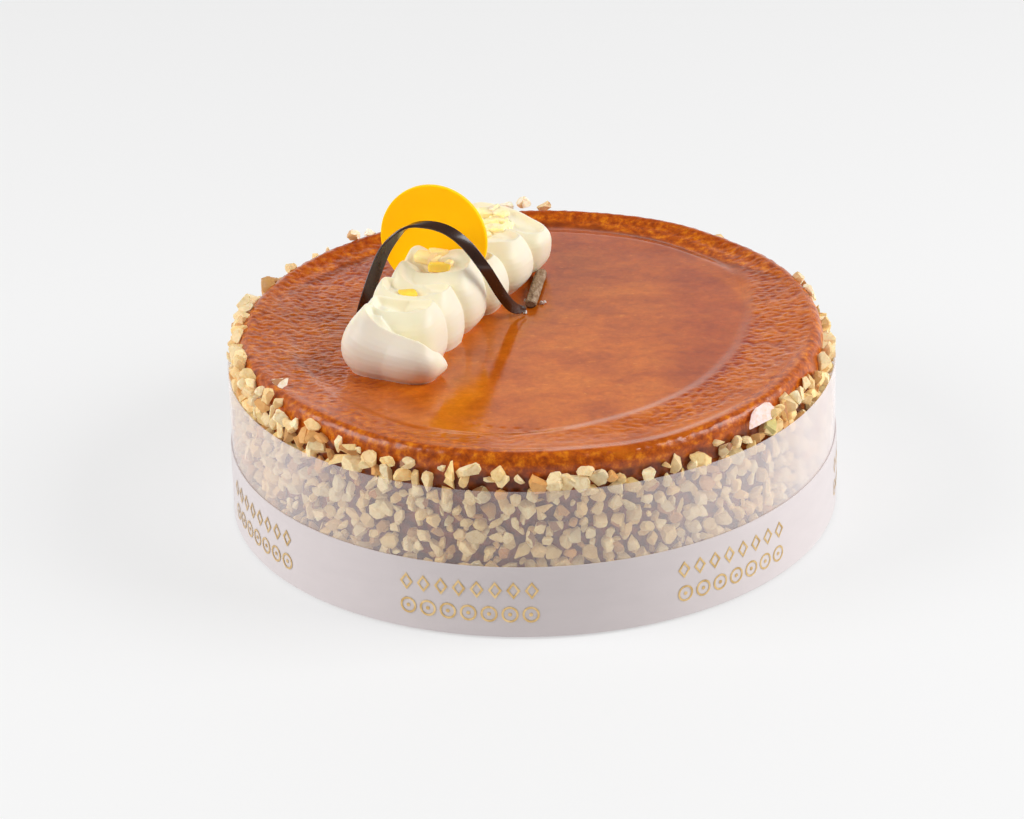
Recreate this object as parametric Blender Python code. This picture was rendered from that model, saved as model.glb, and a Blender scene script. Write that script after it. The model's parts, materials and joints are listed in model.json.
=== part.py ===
"""An orange cake: a low round glazed cake whose side is coated in chopped nuts, in a clear film
collar with a ribbon band round its foot. On its top lie a row of piped cream folds with bits of
candied peel, a round chocolate disc that stands in the cream, an arched chocolate strip and a
short chocolate stick. Units are metres, +Z is up and -Y is the front."""

import math
import random
from collections import namedtuple
from itertools import product

import bmesh
import bpy
from mathutils import Euler, Matrix, Vector

MM = 0.001
GAP = 0.3 * MM  # room left between two pieces that touch

# Film collar and ribbon: 50 mm cake film and 25 mm ribbon round a 200 mm cake
COLLAR_RADIUS = 100 * MM
RIBBON_THICKNESS = 0.4 * MM
RIBBON_TOP = 25 * MM
FILM_THICKNESS = 0.4 * MM
FILM_TOP = 51 * MM
WRAP_BOTTOM = 0.6 * MM
WRAP_SEGMENTS = 64

# Cake body: the level glaze, the raised rim round it and the shoulder down to the coated side
GLAZE_LEVEL = 59.5 * MM
GLAZE_RADIUS = 70 * MM
RIM_PROFILE = (  # radius, height, both in mm, from the glaze out and down to the coating
    (78.0, 59.8),
    (84.5, 60.5),
    (89.5, 61.4),
    (92.6, 61.6),
    (94.5, 60.3),
    (95.3, 57.2),
    (95.5, 53.4),
)
FOOT_RADIUS = 95.0 * MM
CAKE_SEGMENTS = 108
COAT_ROWS = 10  # rows of nut-sized bumps down the side
COAT_BOTTOM = 2.5 * MM
COAT_TOP = 50.5 * MM
COAT_RADIUS = 96.6 * MM
COAT_RELIEF = 1.5 * MM
COAT_LIMIT = COLLAR_RADIUS - RIBBON_THICKNESS - GAP - FILM_THICKNESS - 1.5 * GAP

# Chopped nuts that show above the film. Angles run from the front, + to the right
NUT_COUNT = 130
NUT_SIZE = (5.0 * MM, 7.6 * MM)
NUT_SHAPE = (0.5, 0.44, 0.38)  # half length, width and thickness of a piece of size 1
NUT_STAND = 0.9 * MM  # how far its middle stands out of the cake
NUT_CHIP = (0.62, 0.98)  # how far each corner is chipped in
NUT_SKEW = 0.1  # and moved to a side, of the nut's size
NUT_TUMBLE = 0.5  # radians that a nut is tipped at most
NUT_TOP_LEFT = 62.0 * MM  # how high the nuts climb where they come over the rim
NUT_TOP_FRONT = 55.6 * MM  # and where they are a single row
NUT_SEED = 11

# Row of piped cream: it starts at the front left and runs away to the back
ROW_START = Vector((-44 * MM, -27 * MM, 0))
ROW_ANGLE = math.radians(67.4)  # of the row from +X
CREAM_BASE = GLAZE_LEVEL + GAP
FOLD_SEGMENTS = 16
FOLD_SQUARENESS = 0.56  # power of the outline's sine and cosine: 1 is an oval, 0 a square
FOLD_LEVELS = (0, 0.2, 0.45, 0.7, 0.88, 1)  # shares of a fold's height with a ring of points
HOLLOW_INWARD = 2.2  # mm from the crest to the hollow behind it
HOLLOW_DEPTH = 1.2  # mm
RISE_START = -0.5  # of the outline's sine, -1 in front and 1 behind: where the crest starts to rise
RISE_END = 0.9  # and where it has reached the height of the back
# How far out a fold's front stands, by share of its height
FIRST_FRONT = ((0, 0.80), (0.15, 0.93), (0.4, 1.0), (0.65, 0.94), (0.82, 0.80), (0.93, 0.64), (1, 0.54))
SCALE_FRONT = ((0, 0.84), (0.2, 0.96), (0.45, 1.0), (0.68, 0.95), (0.82, 0.84), (0.92, 0.69), (1, 0.54))
Fold = namedtuple("Fold", "along front back skew shape left right crest rise")
# In mm: place along the row; reach to the front and to the back; how far the right end stands back at
# the foot and at the crest; shape of the front; reach to the left and to the right by share of the
# height; evenly spaced heights of the crest from left to right; how much higher the back is, at the
# left and at the right
FOLDS = (
    Fold(
        along=1.8,
        front=13.4,
        back=8.0,
        skew=(-1.6, -3.0),
        shape=FIRST_FRONT,
        left=((0, -14.0), (0.2, -16.3), (0.4, -16.8), (0.56, -16.1), (0.73, -14.4), (1, -10.0)),
        right=((0, 15.6), (0.2, 17.6), (0.4, 18.6), (0.6, 18.9), (0.8, 18.4), (1, 17.4)),
        crest=(21.6, 19.4, 17.0, 15.6, 14.9, 14.3, 13.5, 11.6, 7.4),
        rise=(-2.0, -1.5),
    ),
    Fold(
        along=13.4,
        front=14.2,
        back=8.0,
        skew=(0, 0),
        shape=SCALE_FRONT,
        left=((0, -12.5), (0.3, -15.0), (0.6, -14.6), (0.85, -12.6), (1, -10.8)),
        right=((0, 11.2), (0.14, 12.4), (0.36, 12.7), (0.62, 12.3), (0.84, 10.8), (1, 8.6)),
        crest=(19.4, 18.2, 17.4, 17.1, 17.1, 17.3, 17.8, 18.3),
        rise=(-0.4, 0.4),
    ),
    Fold(
        along=25.2,
        front=13.6,
        back=8.0,
        skew=(0, 0),
        shape=SCALE_FRONT,
        left=((0, -13.5), (0.3, -16.4), (0.6, -16.4), (0.85, -15.4), (1, -14.0)),
        right=((0, 12.6), (0.15, 13.5), (0.3, 13.8), (0.55, 13.3), (0.78, 11.5), (1, 9.4)),
        crest=(19.2, 18.2, 17.4, 17.0, 17.2, 17.8, 18.6, 19.1),
        rise=(-0.5, 0.2),
    ),
    Fold(
        along=33.0,
        front=11.4,
        back=6.5,
        skew=(0, 0),
        shape=SCALE_FRONT,
        left=((0, -12.5), (0.3, -14.8), (0.6, -14.8), (0.85, -13.2), (1, -11.6)),
        right=((0, 8.0), (0.3, 9.8), (0.6, 9.8), (0.85, 8.8), (1, 7.4)),
        crest=(21.0, 19.0, 17.6, 16.8, 16.4, 16.3, 16.2, 15.8),
        rise=(1.0, 0.6),
    ),
    Fold(
        along=39.4,
        front=13.0,
        back=10.0,
        skew=(-1.0, 0),
        shape=SCALE_FRONT,
        left=((0, -12.5), (0.3, -15.4), (0.6, -15.2), (0.85, -13.2), (1, -11.4)),
        right=((0, 12.0), (0.1, 14.2), (0.25, 15.5), (0.45, 15.6), (0.65, 14.5), (1, 10.6)),
        crest=(20.6, 19.3, 18.8, 19.0, 19.5, 20.2, 20.8, 20.9),
        rise=(3.9, 3.2),
    ),
    Fold(
        along=54.5,
        front=12.0,
        back=7.5,
        skew=(0, 0),
        shape=SCALE_FRONT,
        left=((0, -12.0), (0.3, -14.4), (0.6, -14.0), (1, -10.5)),
        right=((0, 14.2), (0.2, 16.6), (0.45, 17.3), (0.7, 16.4), (0.88, 14.6), (1, 12.2)),
        crest=(17.0, 16.4, 16.2, 16.4, 16.8, 17.4, 17.9, 17.8),
        rise=(0.4, 0.2),
    ),
    Fold(
        along=72.0,
        front=14.0,
        back=7.5,
        skew=(0, 0),
        shape=SCALE_FRONT,
        left=((0, -10.5), (0.3, -13.6), (0.6, -13.2), (1, -9.6)),
        right=((0, 14.4), (0.12, 16.8), (0.3, 18.6), (0.56, 18.8), (0.8, 17.1), (1, 14.6)),
        crest=(17.4, 16.8, 16.8, 17.0, 17.5, 18.0, 18.3, 18.0),
        rise=(0.4, 0.2),
    ),
    Fold(
        along=85.0,
        front=11.5,
        back=9.5,
        skew=(0, 0),
        shape=SCALE_FRONT,
        left=((0, -11.5), (0.3, -14.8), (0.6, -14.4), (1, -10.2)),
        right=((0, 14.0), (0.15, 17.3), (0.35, 19.3), (0.6, 20.0), (0.82, 19.8), (1, 18.2)),
        crest=(17.6, 17.5, 17.4, 17.4, 17.2, 16.6, 15.8, 15.4),
        rise=(3.4, 0.6),
    ),
)

# Candied peel on the cream, in mm: place along the row, side, height over the glaze, length
PEEL_BITS = (
    (19.5, -1.6, 16.6, 5.0),
    (35.5, -3.4, 18.2, 4.6),
    (39.0, -0.6, 20.6, 3.8),
    (33.2, 2.2, 19.6, 5.4),
    (38.0, 3.6, 20.4, 3.6),
    (72.0, 2.0, 16.7, 4.4),
    (75.5, 5.5, 18.2, 4.8),
    (79.0, 0.5, 18.0, 4.6),
    (80.5, 6.5, 16.6, 4.2),
    (84.0, 3.0, 16.7, 4.4),
)
PEEL_SHAPE = (1.0, 0.55, 0.5)  # width and thickness for a length of 1
PEEL_CHIP = (0.75, 1.1)
PEEL_SEED = 5

# Round chocolate disc, upright between the fifth and the sixth fold
DISC_RADIUS = 18.2 * MM
DISC_THICKNESS = 1.8 * MM
DISC_CENTRE = Vector((-30.8 * MM, 15.4 * MM, 86.0 * MM))
DISC_TURN = math.radians(5)  # of its face from square to the row
DISC_LEAN = math.radians(6)  # away from the front

# Arched chocolate strip: the middle of its band, from the left foot over the top to the right foot
STRIP_WIDTH = 3.8 * MM
STRIP_THICKNESS = 1.0 * MM
STRIP_ROUTE = (  # x, y, z in mm, and how far the band's face is turned to the front, in degrees
    (-55.4, 7.2, 61.0, -66),
    (-53.8, 7.0, 67.2, -64),
    (-49.7, 6.2, 79.4, -60),
    (-46.0, 5.4, 87.6, -50),
    (-39.9, 4.6, 94.5, -22),
    (-33.9, 4.0, 96.0, 6),
    (-26.6, 3.3, 94.3, 36),
    (-20.2, 1.8, 89.5, 58),
    (-14.1, 1.0, 80.9, 70),
    (-9.1, 4.0, 70.3, 78),
    (-4.2, 11.2, 61.8, 70),
)
STRIP_STEPS = 3  # stations between two points of the route
STRIP_TAPER = 0.72  # of its width, at the two ends

# Short chocolate stick on the glaze, to the right of the strip's foot
STICK_START = Vector((1.0 * MM, 15.8 * MM, 0))
STICK_END = Vector((4.1 * MM, 42.2 * MM, 0))
STICK_WIDTH = 4.0 * MM
STICK_HEIGHT = 3.2 * MM
STICK_SIDES = 12
STICK_FLAT = 0.12  # of its height, cut flat underneath
STICK_SWELL = ((0, 0.84), (0.06, 1), (0.35, 0.95), (0.7, 1.03), (0.95, 1), (1, 0.8))  # share of length, width


def clear_scene():
    for obj in list(bpy.data.objects):
        bpy.data.objects.remove(obj, do_unlink=True)


def make_material(name, colour, roughness, alpha=1.0):
    material = bpy.data.materials.new(name)
    material.use_nodes = True
    shader = material.node_tree.nodes["Principled BSDF"]
    shader.inputs["Base Color"].default_value = (*colour, 1)
    shader.inputs["Roughness"].default_value = roughness
    shader.inputs["Metallic"].default_value = 0
    shader.inputs["Alpha"].default_value = alpha
    material.diffuse_color = (*colour, alpha)
    return material


def add_object(name, bm, material, sharp_degrees=40):
    bmesh.ops.recalc_face_normals(bm, faces=bm.faces)
    mesh = bpy.data.meshes.new(name)
    bm.to_mesh(mesh)
    bm.free()
    mesh.shade_smooth()
    mesh.set_sharp_from_angle(angle=math.radians(sharp_degrees))
    if material:
        mesh.materials.append(material)
    obj = bpy.data.objects.new(name, mesh)
    bpy.context.scene.collection.objects.link(obj)
    return obj


def combine(obj, others, operation):
    """Join the others to obj, or cut them from it, and remove them."""
    group = bpy.data.collections.new(obj.name + "_others")
    bpy.context.scene.collection.children.link(group)
    for other in others:
        bpy.context.scene.collection.objects.unlink(other)
        group.objects.link(other)
    boolean = obj.modifiers.new("Boolean", "BOOLEAN")
    boolean.operation = operation
    boolean.solver = "EXACT"
    boolean.operand_type = "COLLECTION"
    boolean.collection = group
    bpy.context.view_layer.update()
    evaluated = obj.evaluated_get(bpy.context.evaluated_depsgraph_get())
    joined = bpy.data.meshes.new_from_object(evaluated)
    obj.modifiers.clear()
    obj.data = joined
    for other in others:
        bpy.data.objects.remove(other, do_unlink=True)
    bpy.data.collections.remove(group)
    keep_main_shell(obj.data)


def keep_main_shell(mesh):
    """Drop loose scraps, and fill hollows that joining has sealed."""
    bm = bmesh.new()
    bm.from_mesh(mesh)
    unseen = set(bm.faces)
    shells = []
    while unseen:
        edge_of_shell = [unseen.pop()]
        shell = list(edge_of_shell)
        while edge_of_shell:
            face = edge_of_shell.pop()
            near = {other for edge in face.edges for other in edge.link_faces} & unseen
            unseen -= near
            shell.extend(near)
            edge_of_shell.extend(near)
        shells.append(shell)
    largest = max(shells, key=len)
    spare = [face for shell in shells if shell is not largest for face in shell]
    bmesh.ops.delete(bm, geom=spare, context="FACES")
    bm.to_mesh(mesh)
    bm.free()


def bridge(bm, lower, upper):
    """Join two closed rings of the same number of vertices."""
    count = len(lower)
    for i in range(count):
        j = (i + 1) % count
        bm.faces.new((lower[i], lower[j], upper[j], upper[i]))


def fan(bm, ring, centre):
    tip = bm.verts.new(centre)
    for i, vertex in enumerate(ring):
        bm.faces.new((vertex, ring[(i + 1) % len(ring)], tip))


def hull_piece(name, points, material):
    """The closed convex piece round some points, as a chopped nut or a bit of peel has."""
    bm = bmesh.new()
    for point in points:
        bm.verts.new(point)
    made = bmesh.ops.convex_hull(bm, input=bm.verts)
    inner = [v for v in made["geom_interior"] if isinstance(v, bmesh.types.BMVert)]
    bmesh.ops.delete(bm, geom=inner, context="VERTS")
    return add_object(name, bm, material, sharp_degrees=20)


def wrap_band(name, outer, thickness, top, material):
    """A thin band that stands round the cake, a little clear of what it stands on."""
    bm = bmesh.new()
    corners = (
        (outer - thickness, WRAP_BOTTOM),
        (outer, WRAP_BOTTOM),
        (outer, top),
        (outer - thickness, top),
    )
    rings = []
    for radius, height in corners:
        ring = []
        for i in range(WRAP_SEGMENTS):
            angle = 2 * math.pi * i / WRAP_SEGMENTS
            ring.append(bm.verts.new((radius * math.cos(angle), radius * math.sin(angle), height)))
        rings.append(ring)
    for ring, following in zip(rings, rings[1:] + rings[:1]):
        bridge(bm, ring, following)
    return add_object(name, bm, material)


def rim_wander(angle):
    """How far the baked rim rises and falls on its way round."""
    slow = 0.45 * math.sin(2 * angle + 0.6) + 0.3 * math.sin(3 * angle + 2.1)
    return (slow + 0.18 * math.sin(7 * angle) + 0.12 * math.sin(13 * angle + 1)) * MM


def cake_core(material):
    """Glaze, rim, and the side with its coat of nut-sized bumps."""
    draw = random.Random(NUT_SEED)
    rings = [[(GLAZE_RADIUS, GLAZE_LEVEL)] * CAKE_SEGMENTS]
    for step, (radius, height) in enumerate(RIM_PROFILE):
        share = min(1, (step + 1) / 3)
        ring = []
        for i in range(CAKE_SEGMENTS):
            wander = rim_wander(2 * math.pi * i / CAKE_SEGMENTS) * share
            ring.append((radius * MM - wander / 3, height * MM + wander))
        rings.append(ring)
    for row in range(COAT_ROWS):
        height = COAT_TOP + (COAT_BOTTOM - COAT_TOP) * row / (COAT_ROWS - 1)
        ring = []
        for i in range(CAKE_SEGMENTS):
            side = 1 if (i + row) % 2 else -1
            radius = COAT_RADIUS + side * COAT_RELIEF * draw.uniform(0.5, 1.2)
            ring.append((min(radius, COAT_LIMIT), height + draw.uniform(-0.8, 0.8) * MM))
        rings.append(ring)
    rings.append([(FOOT_RADIUS, 0)] * CAKE_SEGMENTS)

    bm = bmesh.new()
    loops = []
    for ring in rings:
        loop = []
        for i, (radius, height) in enumerate(ring):
            angle = 2 * math.pi * i / CAKE_SEGMENTS
            loop.append(bm.verts.new((radius * math.cos(angle), radius * math.sin(angle), height)))
        loops.append(loop)
    for upper, lower in zip(loops, loops[1:]):
        bridge(bm, lower, upper)
    fan(bm, loops[0], (0, 0, GLAZE_LEVEL))
    bm.faces.new(loops[-1])
    bmesh.ops.triangulate(bm, faces=bm.faces)
    return add_object("cake", bm, material)


def nut_top(angle):
    """The height that the nuts reach: over the rim at the left and right, a low row in front."""
    left = math.exp(-(((math.degrees(angle) + 85) / 38) ** 4))
    right = 0.75 * math.exp(-(((math.degrees(angle) - 85) / 42) ** 4))
    back = 0.62 if abs(math.degrees(angle)) > 120 else 0
    return NUT_TOP_FRONT + (NUT_TOP_LEFT - NUT_TOP_FRONT) * max(left, right, back)


def rim_point(height):
    """Radius of the shoulder at a height, and how far it has turned towards the top."""
    outline = [(r * MM, z * MM) for r, z in RIM_PROFILE[3:]]
    for (upper_r, upper_z), (lower_r, lower_z) in zip(outline, outline[1:]):
        if height >= lower_z:
            share = min(1, (height - lower_z) / (upper_z - lower_z))
            turn = math.atan2(upper_z - lower_z, lower_r - upper_r)
            return lower_r + (upper_r - lower_r) * share, math.pi / 2 - turn
    return outline[-1][0], 0


def chopped_nuts(material):
    """The nuts above the film, the largest first, each sunk about half into the cake."""
    draw = random.Random(NUT_SEED)
    sizes = sorted((draw.uniform(*NUT_SIZE) for _ in range(NUT_COUNT)), reverse=True)
    nuts = []
    for number, size in enumerate(sizes):
        turn = (number * 0.618034) % 1  # golden-section steps spread them evenly
        angle = (turn - 0.5) * 2 * math.pi
        low = FILM_TOP + 0.38 * size
        height = low + max(0, nut_top(angle) - low) * draw.random()
        radius, lean = rim_point(height)
        climb = (height - RIM_PROFILE[-1][1] * MM) / (NUT_TOP_LEFT - RIM_PROFILE[-1][1] * MM)
        height += rim_wander(angle - math.pi / 2) * max(0, climb)
        out = Vector((math.sin(angle), -math.cos(angle), 0))
        normal = out * math.cos(lean) + Vector((0, 0, math.sin(lean)))
        centre = out * radius + Vector((0, 0, height)) + normal * NUT_STAND
        spin = Matrix.Rotation(draw.uniform(0, math.tau), 3, normal)
        tumble = Euler([draw.uniform(-NUT_TUMBLE, NUT_TUMBLE) for _ in range(3)]).to_matrix()
        points = []
        for corner in product((-1, 1), repeat=3):
            chip = draw.uniform(*NUT_CHIP)
            edge = [side * half * size * chip for side, half in zip(corner, NUT_SHAPE)]
            edge = [length + draw.uniform(-NUT_SKEW, NUT_SKEW) * size for length in edge]
            point = centre + spin @ tumble @ Vector(edge)
            reach = math.hypot(point.x, point.y)
            if reach > COAT_LIMIT:
                point.x *= COAT_LIMIT / reach
                point.y *= COAT_LIMIT / reach
            point.z = max(point.z, FILM_TOP - 1.2 * MM)
            points.append(point)
        nuts.append(hull_piece(f"nut_{number}", points, material))
    return nuts


def on_row(along, side, height):
    """A point by its place along the row of cream, to its side, and over the glaze, in mm."""
    ahead = Vector((math.cos(ROW_ANGLE), math.sin(ROW_ANGLE), 0))
    right = Vector((math.sin(ROW_ANGLE), -math.cos(ROW_ANGLE), 0))
    place = ROW_START + (ahead * along + right * side) * MM
    return place + Vector((0, 0, CREAM_BASE + height * MM))


def at_share(points, share):
    """The value between (share, value) pairs, or between evenly spaced values."""
    if not isinstance(points[0], tuple):
        points = [(i / (len(points) - 1), value) for i, value in enumerate(points)]
    for (start, before), (end, after) in zip(points, points[1:]):
        if share <= end:
            return before + (after - before) * (share - start) / (end - start)
    return points[-1][1]


def oval(angle):
    """Cosine and sine of a squared oval."""
    c, s = math.cos(angle), math.sin(angle)
    return (
        math.copysign(abs(c) ** FOLD_SQUARENESS, c),
        math.copysign(abs(s) ** FOLD_SQUARENESS, s),
    )


def fold_ring(fold, level, inward=0.0, drop=0.0):
    """The outline of a fold at a share of its height, or the edge of the hollow behind its crest."""
    left, right = at_share(fold.left, level), at_share(fold.right, level)
    front = at_share(fold.shape, level)
    skew = fold.skew[0] + (fold.skew[1] - fold.skew[0]) * level
    points = []
    for i in range(FOLD_SEGMENTS):
        c, s = oval(2 * math.pi * i / FOLD_SEGMENTS)
        share = (c + 1) / 2
        height = at_share(fold.crest, share)
        risen = (s - RISE_START) / (RISE_END - RISE_START)
        height += at_share(fold.rise, share) * max(0, min(1, risen))
        reach = (fold.back if s > 0 else fold.front) * front
        along = fold.along + skew * c + max(0, reach - inward) * s
        side = (left + right) / 2 + ((right - left) / 2 - inward) * c
        points.append(on_row(along, side, height * level - drop))
    return points


def cream_fold(name, fold, material):
    """A bulging fold: its wall rises from the glaze and leans in to a crest, hollow behind."""
    bm = bmesh.new()
    outlines = [fold_ring(fold, level) for level in FOLD_LEVELS]
    outlines.append(fold_ring(fold, 1, HOLLOW_INWARD, HOLLOW_DEPTH))
    rings = [[bm.verts.new(point) for point in outline] for outline in outlines]
    for lower, upper in zip(rings, rings[1:]):
        bridge(bm, lower, upper)
    bm.faces.new(rings[-1])
    bm.faces.new(list(reversed(rings[0])))
    bmesh.ops.triangulate(bm, faces=bm.faces)
    return add_object(name, bm, material, sharp_degrees=35)


def peel_bits(material):
    draw = random.Random(PEEL_SEED)
    bits = []
    for number, (along, side, height, length) in enumerate(PEEL_BITS):
        centre = on_row(along, side, height)
        turn = Matrix.Rotation(draw.uniform(0, math.pi), 3, "Z")
        points = []
        for corner in product((-0.5, 0.5), repeat=3):
            edge = Vector([side * share * length for side, share in zip(corner, PEEL_SHAPE)])
            edge *= MM * draw.uniform(*PEEL_CHIP)
            points.append(centre + turn @ edge)
        bits.append(hull_piece(f"peel_{number}", points, material))
    return bits


def chocolate_disc(name, material, extra=0.0):
    """The disc, or with some extra all round the slot that it stands in."""
    bm = bmesh.new()
    bmesh.ops.create_cone(
        bm,
        cap_ends=True,
        segments=48,
        radius1=DISC_RADIUS + extra,
        radius2=DISC_RADIUS + extra,
        depth=DISC_THICKNESS + 2 * extra,
    )
    obj = add_object(name, bm, material)
    upright = Matrix.Rotation(math.pi / 2, 4, "X")
    lean = Matrix.Rotation(-DISC_LEAN, 4, "X")
    turn = Matrix.Rotation(ROW_ANGLE - math.pi / 2 + DISC_TURN, 4, "Z")
    obj.matrix_world = Matrix.Translation(DISC_CENTRE) @ turn @ lean @ upright
    return obj


def smooth_route(points, steps):
    """Stations along a smooth curve through points of any number of coordinates."""
    first = [2 * a - b for a, b in zip(points[0], points[1])]
    last = [2 * a - b for a, b in zip(points[-1], points[-2])]
    route = [first, *points, last]
    stations = []
    for before, start, end, after in zip(route, route[1:], route[2:], route[3:]):
        for step in range(steps):
            t = step / steps
            stations.append(
                [
                    (
                        2 * b
                        + (c - a) * t
                        + (2 * a - 5 * b + 4 * c - d) * t**2
                        + (3 * b - a - 3 * c + d) * t**3
                    )
                    / 2
                    for a, b, c, d in zip(before, start, end, after)
                ]
            )
    return [*stations, list(points[-1])]


def chocolate_strip(material):
    """A flat band that twists as it arches over the cream."""
    stations = smooth_route(STRIP_ROUTE, STRIP_STEPS)
    middles = [Vector(station[:3]) * MM for station in stations]
    bm = bmesh.new()
    rings = []
    for i, middle in enumerate(middles):
        along = middles[min(i + 1, len(middles) - 1)] - middles[max(i - 1, 0)]
        front = Vector((0, -1, 0))
        upper = along.cross(front).normalized()
        upper *= math.copysign(1, upper.z) if abs(upper.z) > 0.05 else math.copysign(1, upper.x)
        front = (front - along * front.dot(along) / along.length_squared).normalized()
        face = math.radians(stations[i][3])
        normal = upper * math.cos(face) + front * math.sin(face)
        across = along.cross(normal).normalized()
        taper = STRIP_TAPER if i in (0, len(middles) - 1) else 1
        half = across * STRIP_WIDTH / 2 * taper
        thick = normal * STRIP_THICKNESS / 2
        corners = (half + thick, half - thick, -half - thick, -half + thick)
        rings.append([bm.verts.new(middle + corner) for corner in corners])
    for ring, following in zip(rings, rings[1:]):
        bridge(bm, ring, following)
    bm.faces.new(rings[0])
    bm.faces.new(rings[-1])
    bmesh.ops.triangulate(bm, faces=bm.faces)
    return add_object("chocolate_strip", bm, material)


def chocolate_stick(material):
    """A short stick with a flat foot and a rounded back, its ends broken off."""
    ahead = (STICK_END - STICK_START).normalized()
    right = Vector((ahead.y, -ahead.x, 0))
    length = (STICK_END - STICK_START).length
    bm = bmesh.new()
    rings = []
    foot = STICK_FLAT * STICK_HEIGHT
    for share, swell in STICK_SWELL:
        centre = STICK_START + ahead * length * share
        ring = []
        for i in range(STICK_SIDES):
            angle = 2 * math.pi * i / STICK_SIDES
            side = right * math.cos(angle) * STICK_WIDTH / 2 * swell
            upward = math.sin(angle) * (swell if math.sin(angle) > 0 else 1)
            height = max(STICK_HEIGHT / 2 * (1 + upward), foot) - foot
            ring.append(bm.verts.new(centre + side + Vector((0, 0, CREAM_BASE + height))))
        rings.append(ring)
    for ring, following in zip(rings, rings[1:]):
        bridge(bm, ring, following)
    bm.faces.new(rings[0])
    bm.faces.new(rings[-1])
    return add_object("chocolate_stick", bm, material)


def main():
    clear_scene()
    baked = make_material("baked_glaze", (0.5, 0.16, 0.05), 0.15)
    film = make_material("clear_film", (0.85, 0.83, 0.85), 0.08, alpha=0.35)
    satin = make_material("white_satin", (0.86, 0.83, 0.84), 0.35)
    white_cream = make_material("piped_cream", (0.92, 0.86, 0.72), 0.45)
    yellow = make_material("yellow_chocolate", (0.97, 0.5, 0.01), 0.4)
    dark = make_material("dark_chocolate", (0.05, 0.02, 0.012), 0.25)
    stick = make_material("dusted_chocolate", (0.16, 0.09, 0.06), 0.6)

    cake = cake_core(baked)
    combine(cake, chopped_nuts(baked), "UNION")
    ribbon_inner = COLLAR_RADIUS - RIBBON_THICKNESS
    wrap_band("ribbon_band", COLLAR_RADIUS, RIBBON_THICKNESS, RIBBON_TOP, satin)
    wrap_band("film_collar", ribbon_inner - GAP, FILM_THICKNESS, FILM_TOP, film)

    folds = [cream_fold(f"fold_{i}", fold, white_cream) for i, fold in enumerate(FOLDS)]
    cream = folds.pop(0)
    cream.name = "cream"
    combine(cream, folds + peel_bits(white_cream), "UNION")
    combine(cream, [chocolate_disc("slot", None, extra=GAP)], "DIFFERENCE")
    chocolate_disc("orange_disc", yellow)
    chocolate_strip(dark)
    chocolate_stick(stick)


main()
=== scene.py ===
# Orange cake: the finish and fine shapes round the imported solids.
# Lengths in the dictionaries are millimetres and angles are degrees, unless a note says otherwise.
import json
import math

import bmesh
import bpy
import numpy as np
from mathutils import Matrix, Vector, noise

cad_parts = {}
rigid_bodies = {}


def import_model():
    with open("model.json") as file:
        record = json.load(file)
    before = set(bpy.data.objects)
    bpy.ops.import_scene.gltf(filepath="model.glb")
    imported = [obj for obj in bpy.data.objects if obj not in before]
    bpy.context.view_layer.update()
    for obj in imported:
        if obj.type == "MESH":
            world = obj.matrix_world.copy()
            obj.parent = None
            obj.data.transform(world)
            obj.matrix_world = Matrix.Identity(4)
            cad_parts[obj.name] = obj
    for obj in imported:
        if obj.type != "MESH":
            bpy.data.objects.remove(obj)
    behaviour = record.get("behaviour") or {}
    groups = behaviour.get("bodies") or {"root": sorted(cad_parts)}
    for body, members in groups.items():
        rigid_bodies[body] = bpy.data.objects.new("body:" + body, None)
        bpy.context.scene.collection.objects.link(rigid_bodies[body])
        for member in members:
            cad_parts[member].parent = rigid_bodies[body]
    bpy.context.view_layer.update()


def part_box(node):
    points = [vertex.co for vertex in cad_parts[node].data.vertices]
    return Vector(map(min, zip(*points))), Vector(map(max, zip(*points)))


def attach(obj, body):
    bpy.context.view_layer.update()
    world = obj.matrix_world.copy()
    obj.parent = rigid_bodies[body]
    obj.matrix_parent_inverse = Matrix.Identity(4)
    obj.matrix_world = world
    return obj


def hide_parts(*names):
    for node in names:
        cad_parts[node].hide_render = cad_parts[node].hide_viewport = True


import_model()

mm = 0.001
body = "root"
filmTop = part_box("film_collar")[1].z / mm
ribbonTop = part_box("ribbon_band")[1].z / mm
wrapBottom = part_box("ribbon_band")[0].z / mm


# small helpers for meshes

def addObject(name, data):
    obj = bpy.data.objects.new(name, data)
    bpy.context.scene.collection.objects.link(obj)
    return obj


def makeMesh(name, points, faces, material, sharp=None):
    mesh = bpy.data.meshes.new(name)
    mesh.from_pydata((np.asarray(points) * mm).tolist(), [], [tuple(f) for f in faces])
    mesh.validate()
    mesh.shade_smooth()
    if sharp:
        mesh.set_sharp_from_angle(angle=math.radians(sharp))
    mesh.materials.append(material)
    return addObject(name, mesh)


def dress(obj, slot, *nodes):  # rides on the cake and stands for its CAD nodes
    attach(obj, body)
    if nodes:
        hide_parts(*nodes)
    return obj


def gridFaces(rows, columns, aroundRows=False):  # the columns always close round
    faces = []
    for row in range(rows if aroundRows else rows - 1):
        following = (row + 1) % rows
        for column in range(columns):
            right = (column + 1) % columns
            faces.append((row * columns + column, row * columns + right,
                          following * columns + right, following * columns + column))
    return faces


def closedFaces(rows, columns):  # the same with both ends shut
    last = (rows - 1) * columns
    ends = [tuple(range(columns)), tuple(last + i for i in reversed(range(columns)))]
    return gridFaces(rows, columns) + ends


def fan(centre, first, count):  # faces from one point to a closed ring
    return [(centre, first + i, first + (i + 1) % count) for i in range(count)]


def fullTurn(count):  # evenly spaced angles
    return np.arange(count) * 2 * math.pi / count


def smoothRoute(points, steps):  # a Catmull-Rom curve through points of any number of coordinates
    points = [np.array(p, float) for p in points]
    route = [2 * points[0] - points[1], *points, 2 * points[-1] - points[-2]]
    stations = []
    for a, b, c, d in zip(route, route[1:], route[2:], route[3:]):
        for step in range(steps):
            t = step / steps
            curve = 2 * b + (c - a) * t + (2 * a - 5 * b + 4 * c - d) * t ** 2
            stations.append((curve + (3 * b - a - 3 * c + d) * t ** 3) / 2)
    return np.array([*stations, points[-1]])


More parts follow.
